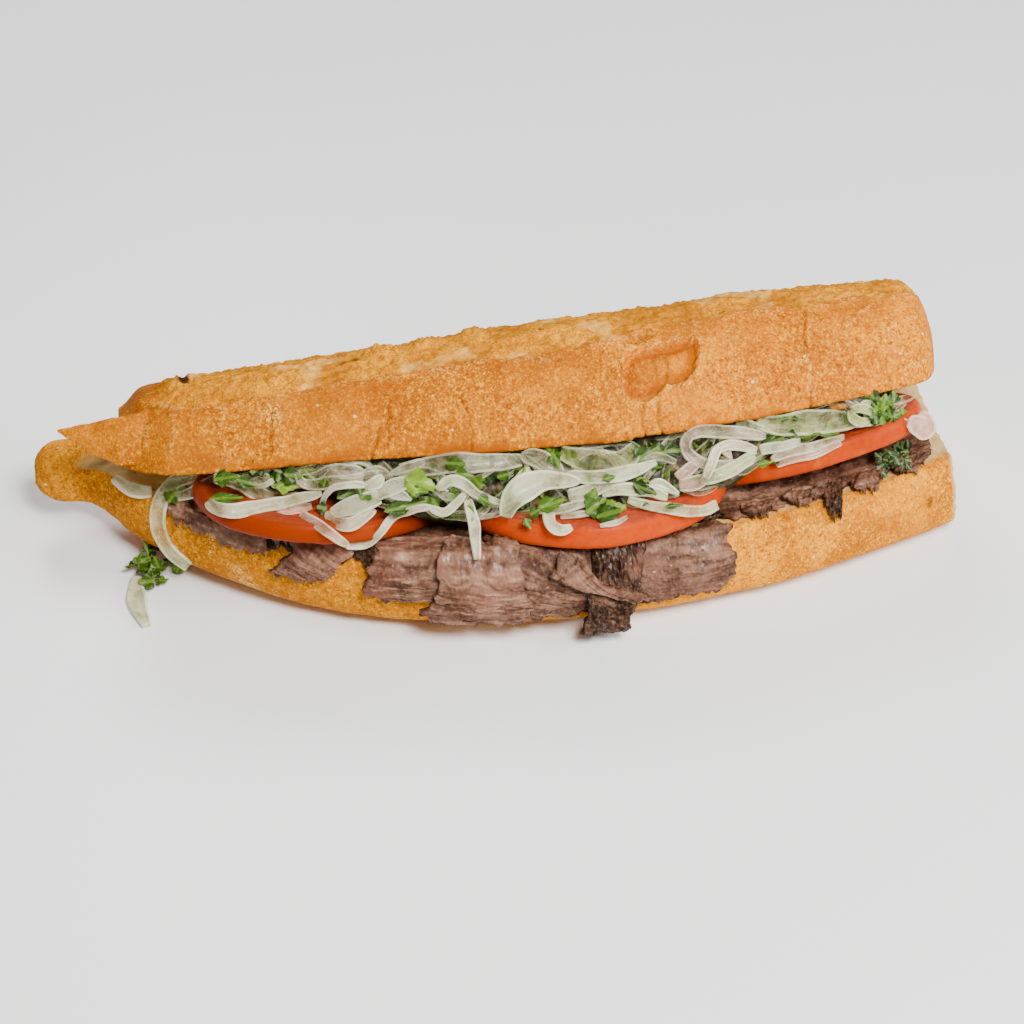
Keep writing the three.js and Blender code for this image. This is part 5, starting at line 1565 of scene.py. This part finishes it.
# Leaves that stand out: pixel, angle, length, width, lift and tone, from 0 for dark to 1.
LEAVES = [
    (209, 499, 3, 10.4, 2.6, 4.2, 0.45), (160, 497, 30, 6, 5, 2.6, 0.7), (168, 503, 60, 5, 4, 2.2, 0.4),
    (166, 490, 10, 6, 4.4, 1.8, 0.75), (214, 480, 8, 8, 3.6, 2.2, 0.35),
    (236, 478, -20, 6, 3, 1.4, 0.3), (272, 487, 30, 8, 5, 1.4, 0.6), (284, 474, -8, 5.4, 4, 0.8, 0.25),
    (276, 488, 10, 6.6, 3, 2.6, 0.95), (324, 487, 85, 2.6, 2.4, 2.4, 0.4),
    (337, 498, 18, 7.4, 3.4, 1.2, 0.2), (361, 499, 60, 4.4, 3.8, 4, 0.4),
    (327, 508, 175, 3, 3, 4, 0.15), (384, 512, 14, 13, 3.2, 3.6, 0.25),
    (405, 477, -24, 9.4, 6, 4, 0.95), (407, 491, -4, 6.2, 2.6, 3, 0.5),
    (446, 463, -8, 6, 3.2, 2.2, 0.35), (455, 473, -14, 5.4, 3, 2.2, 0.5),
    (473, 477, -52, 4.4, 3.6, 3, 0.6), (446, 494, -18, 5, 3.8, 2.6, 0.4),
    (469, 504, -78, 5, 2, 5.2, 0.7), (478, 496, -24, 5.4, 2.2, 4.2, 0.45),
    (519, 483, 68, 5.4, 1.6, 3.8, 0.95), (552, 452, -66, 5, 3, 1.6, 0.5),
    (538, 508, 18, 8.4, 3.6, 4.4, 0.6), (552, 508, 55, 4, 2.4, 4.6, 0.65),
    (525, 519, -62, 3.6, 2, 4.2, 0.4), (530, 515, 30, 3.4, 2.6, 4, 0.35),
    (586, 513, 30, 7.4, 5, 3.6, 0.45), (596, 517, 15, 8, 4.4, 3.2, 0.3),
    (604, 514, 12, 7, 4.6, 4, 0.75), (590, 503, 70, 5, 3.6, 3.4, 0.5),
    (603, 480, 20, 3.8, 2, 4.2, 0.55), (632, 483, -22, 8, 3, 3.6, 0.2), (636, 481, 12, 4, 2, 2.8, 0.7),
    (634, 462, 24, 9, 5, 0.6, 0.2), (650, 457, 20, 8.6, 5, 0.5, 0.3), (664, 452, 5, 6, 4.4, 0.2, 0.12),
    (645, 502, -70, 2.6, 1.4, 3.6, 0.4), (664, 507, 6, 5.8, 1.3, 3.6, 0.35),
    (757, 465, 14, 5.2, 1.5, 3.2, 0.75), (774, 464, 58, 2.8, 2, 3.6, 0.12),
    (787, 432, -24, 4, 2.4, 2.2, 0.25), (762, 446, 20, 7, 4, 0.6, 0.15),
    (706, 434, 14, 7, 2, 0.8, 0.35), (715, 466, 6, 3, 1.6, 2.4, 0.35), (780, 420, 5, 3, 1.4, 1.6, 0.12),
    (792, 418, -5, 2.4, 1.2, 1.8, 0.2), (800, 438, 12, 6.4, 1.3, 1.8, 0.6),
    (820, 436, 14, 6.6, 1.3, 1.8, 0.55), (826, 424, 0, 1.4, 1.4, 3, 0.9),
]
bits = [seen_leaf(leaf[:2], *leaf[2:]) for leaf in LEAVES]
leaf_clump(30, (869, 903), (400, 419), 0.1, 886, (2.2, 4.4), (1, 4), (0.2, 0.8))
for _ in range(150):
    x = draw.uniform(-88, 112)
    lift = draw.uniform(-4.2, -0.6)
    heading = draw.normal(size=3)
    facing = np.array([0, -0.7, 0.7]) + 0.6 * draw.normal(size=3)
    size = draw.uniform(2, 5.4)
    high = draw.uniform(0, 1 - 0.6 * (x < -70))
    spot = frontage(np.float64(x), np.float64(high), np.float64(lift))
    bits.append((spot, heading, facing, size, size * draw.uniform(0.4, 0.9), draw.uniform(-0.2, 0.6)))
add_piece("parsley_bits", leaf_bed("parsley_spots", bits), None, "onion_salad")

# ---------------------------------------------------------------- fallen herbs
# Bits of parsley that fell out of the salad: three on the meat in front, a dark soaked clump on
# the lip near the right end, and four leaves on the table at the left.
def on_floor(x, y, lift):
    return np.array([x, y, lift])


on_lip = {"place": drape, "low": (-120, -7), "high": (127, 24)}
bits = [
    seen_leaf((512, 580), 95, 3.6, 2.6, 5.6, 0.7, **on_lip),
    seen_leaf((515, 578), 60, 2.4, 1.8, 6, 0.5, **on_lip),
    seen_leaf((510, 604), 30, 3, 1.6, 5.4, 0.6, **on_lip),
]
leaf_clump(34, (879, 908), (452, 470), -0.25, 893, (1.8, 3.4), (3, 6), (-0.25, 0.3), **on_lip)
on_table = {"place": on_floor, "low": (-125, -20), "high": (-60, 45)}
FLOOR_LEAVES = [((168, 557), -70, 4.4), ((173, 572), 20, 4.6), ((177, 574), 80, 3.4), ((181, 571), 140, 3.2)]
for pixel, turn, size in FLOOR_LEAVES:
    bits.append(seen_leaf(pixel, turn, size, size * 0.7, 0.9, 0.75, **on_table))
add_piece("fallen_herbs", leaf_bed("fallen_spots", bits), None)


# ---------------------------------------------------------------- what hangs out at the left
# A long strip of onion that hangs from the salad down the heel, a sprig of parsley under it, a
# thick pale petal of onion that fell out, and a pale petal in the gap between the two halves.
HANGING = [
    (-88, -7, 12), (-94.5, -4, 8.4), (-98.6, -1, 4.6), (-100.6, 3, 2.6), (-100.4, 8, 2.2),
    (-98, 13, 1.9), (-93, 17, 1.6),
]
points = along_curve([drape(*map(np.float64, place)) for place in HANGING], 40)
share = np.linspace(0, 1, 40)[:, None]
facing = np.array([-0.25, -0.75, 0.55]) - np.array([0, 0, 0.5]) * share
# This strip and the two petals below get strong painted light.
lay_path(points, (4.2, 4.8, 4.2), -0.22, facing, 0.7)
onion_piece("onion_hanging", "hanging_path", (0.0007, 0.0008, 0.9), 0.0011, "onion_strip_hanging")

share = np.linspace(0, 1, 24)
petal_x = lerp(-108.5, -106.5, share) - 1.4 * np.sin(np.pi * share)
petal = np.stack([petal_x, lerp(14.5, -7.5, share), 0 * share + 1.1], -1)
lay_path(petal, (3, 6.2, 2.6), -0.3, [(0, -0.1, 1)] * 24, 0.95)
onion_piece("onion_petal", "petal_path", (0.0007, 0.0005, 0.5), 0.0013, "onion_petal_fallen")

GAP_PIXELS = [(114, 478), (126, 487), (140, 492), (152, 492)]
spots = [seen_at(pixel, 1.2, drape, (-125, -12), (-80, -1)) for pixel in GAP_PIXELS]
lay_path(along_curve(spots, 20), (2.8, 4.4, 3.4), 0.05, [(0, -0.6, 0.8)] * 20, 1.0)
onion_piece("onion_in_gap", "gap_path", (0.0007, 0.0006, 0.9), 0.0011)

# The sprig's stem is a thin stalk; its leaves are several lobed leaflets round each place.
stems = Tree("parsley_stems")
thickness = stems.size("Thickness")
section = stems.node("GeometryNodeCurvePrimitiveCircle", None, {"Resolution": 7, "Radius": thickness})
sockets = {"Curve": stems.curves(), "Profile Curve": section, "Fill Caps": True}
stalks = stems.store(stems.node("GeometryNodeCurveToMesh", None, sockets), "tone", 0.6)
stems.end(stems.waved(stalks, 0.006, 0.0004), parsley_leaf)

SPRIG = [(-105, 25.5, 12.5), (-105.5, 22.5, 8), (-104.5, 18, 4), (-103.8, 11, 2.8)]
stem = along_curve(SPRIG, 20)
carrier = bpy.data.meshes.new("stem_path")
carrier.from_pydata((stem * MM).tolist(), [(k, k + 1) for k in range(19)], [])
stalk = stems.run(carrier, {"Thickness": 0.0006})
bits = []
LEAFLETS = [((-104.5, 20, 4.6), 6), ((-107.5, 17, 3.4), 6), ((-101.5, 15, 3.2), 6), ((-104, 11, 2.8), 5)]
for place, radius in LEAFLETS:
    for _ in range(5):
        turn = draw.uniform(0, 2 * np.pi)
        heading = np.array([math.cos(turn), math.sin(turn), draw.uniform(-0.1, 0.3)])
        facing = np.array([0, -0.3, 1]) + 0.3 * draw.normal(size=3)
        spot = np.array(place) + np.array([*draw.uniform(-1.2, 1.2, 2), draw.uniform(-0.6, 0.8)])
        size = radius * draw.uniform(0.6, 0.95), radius * draw.uniform(0.5, 0.8)
        bits.append((spot, heading, facing, *size, draw.uniform(0.1, 0.6)))
mesh = leaf_bed("sprig_spots", bits)
add_piece("sprig_leaves", mesh, None, "parsley_sprig")
add_piece("sprig_stem", stalk, None, "parsley_sprig")
bpy.data.objects.remove(leaf_form)
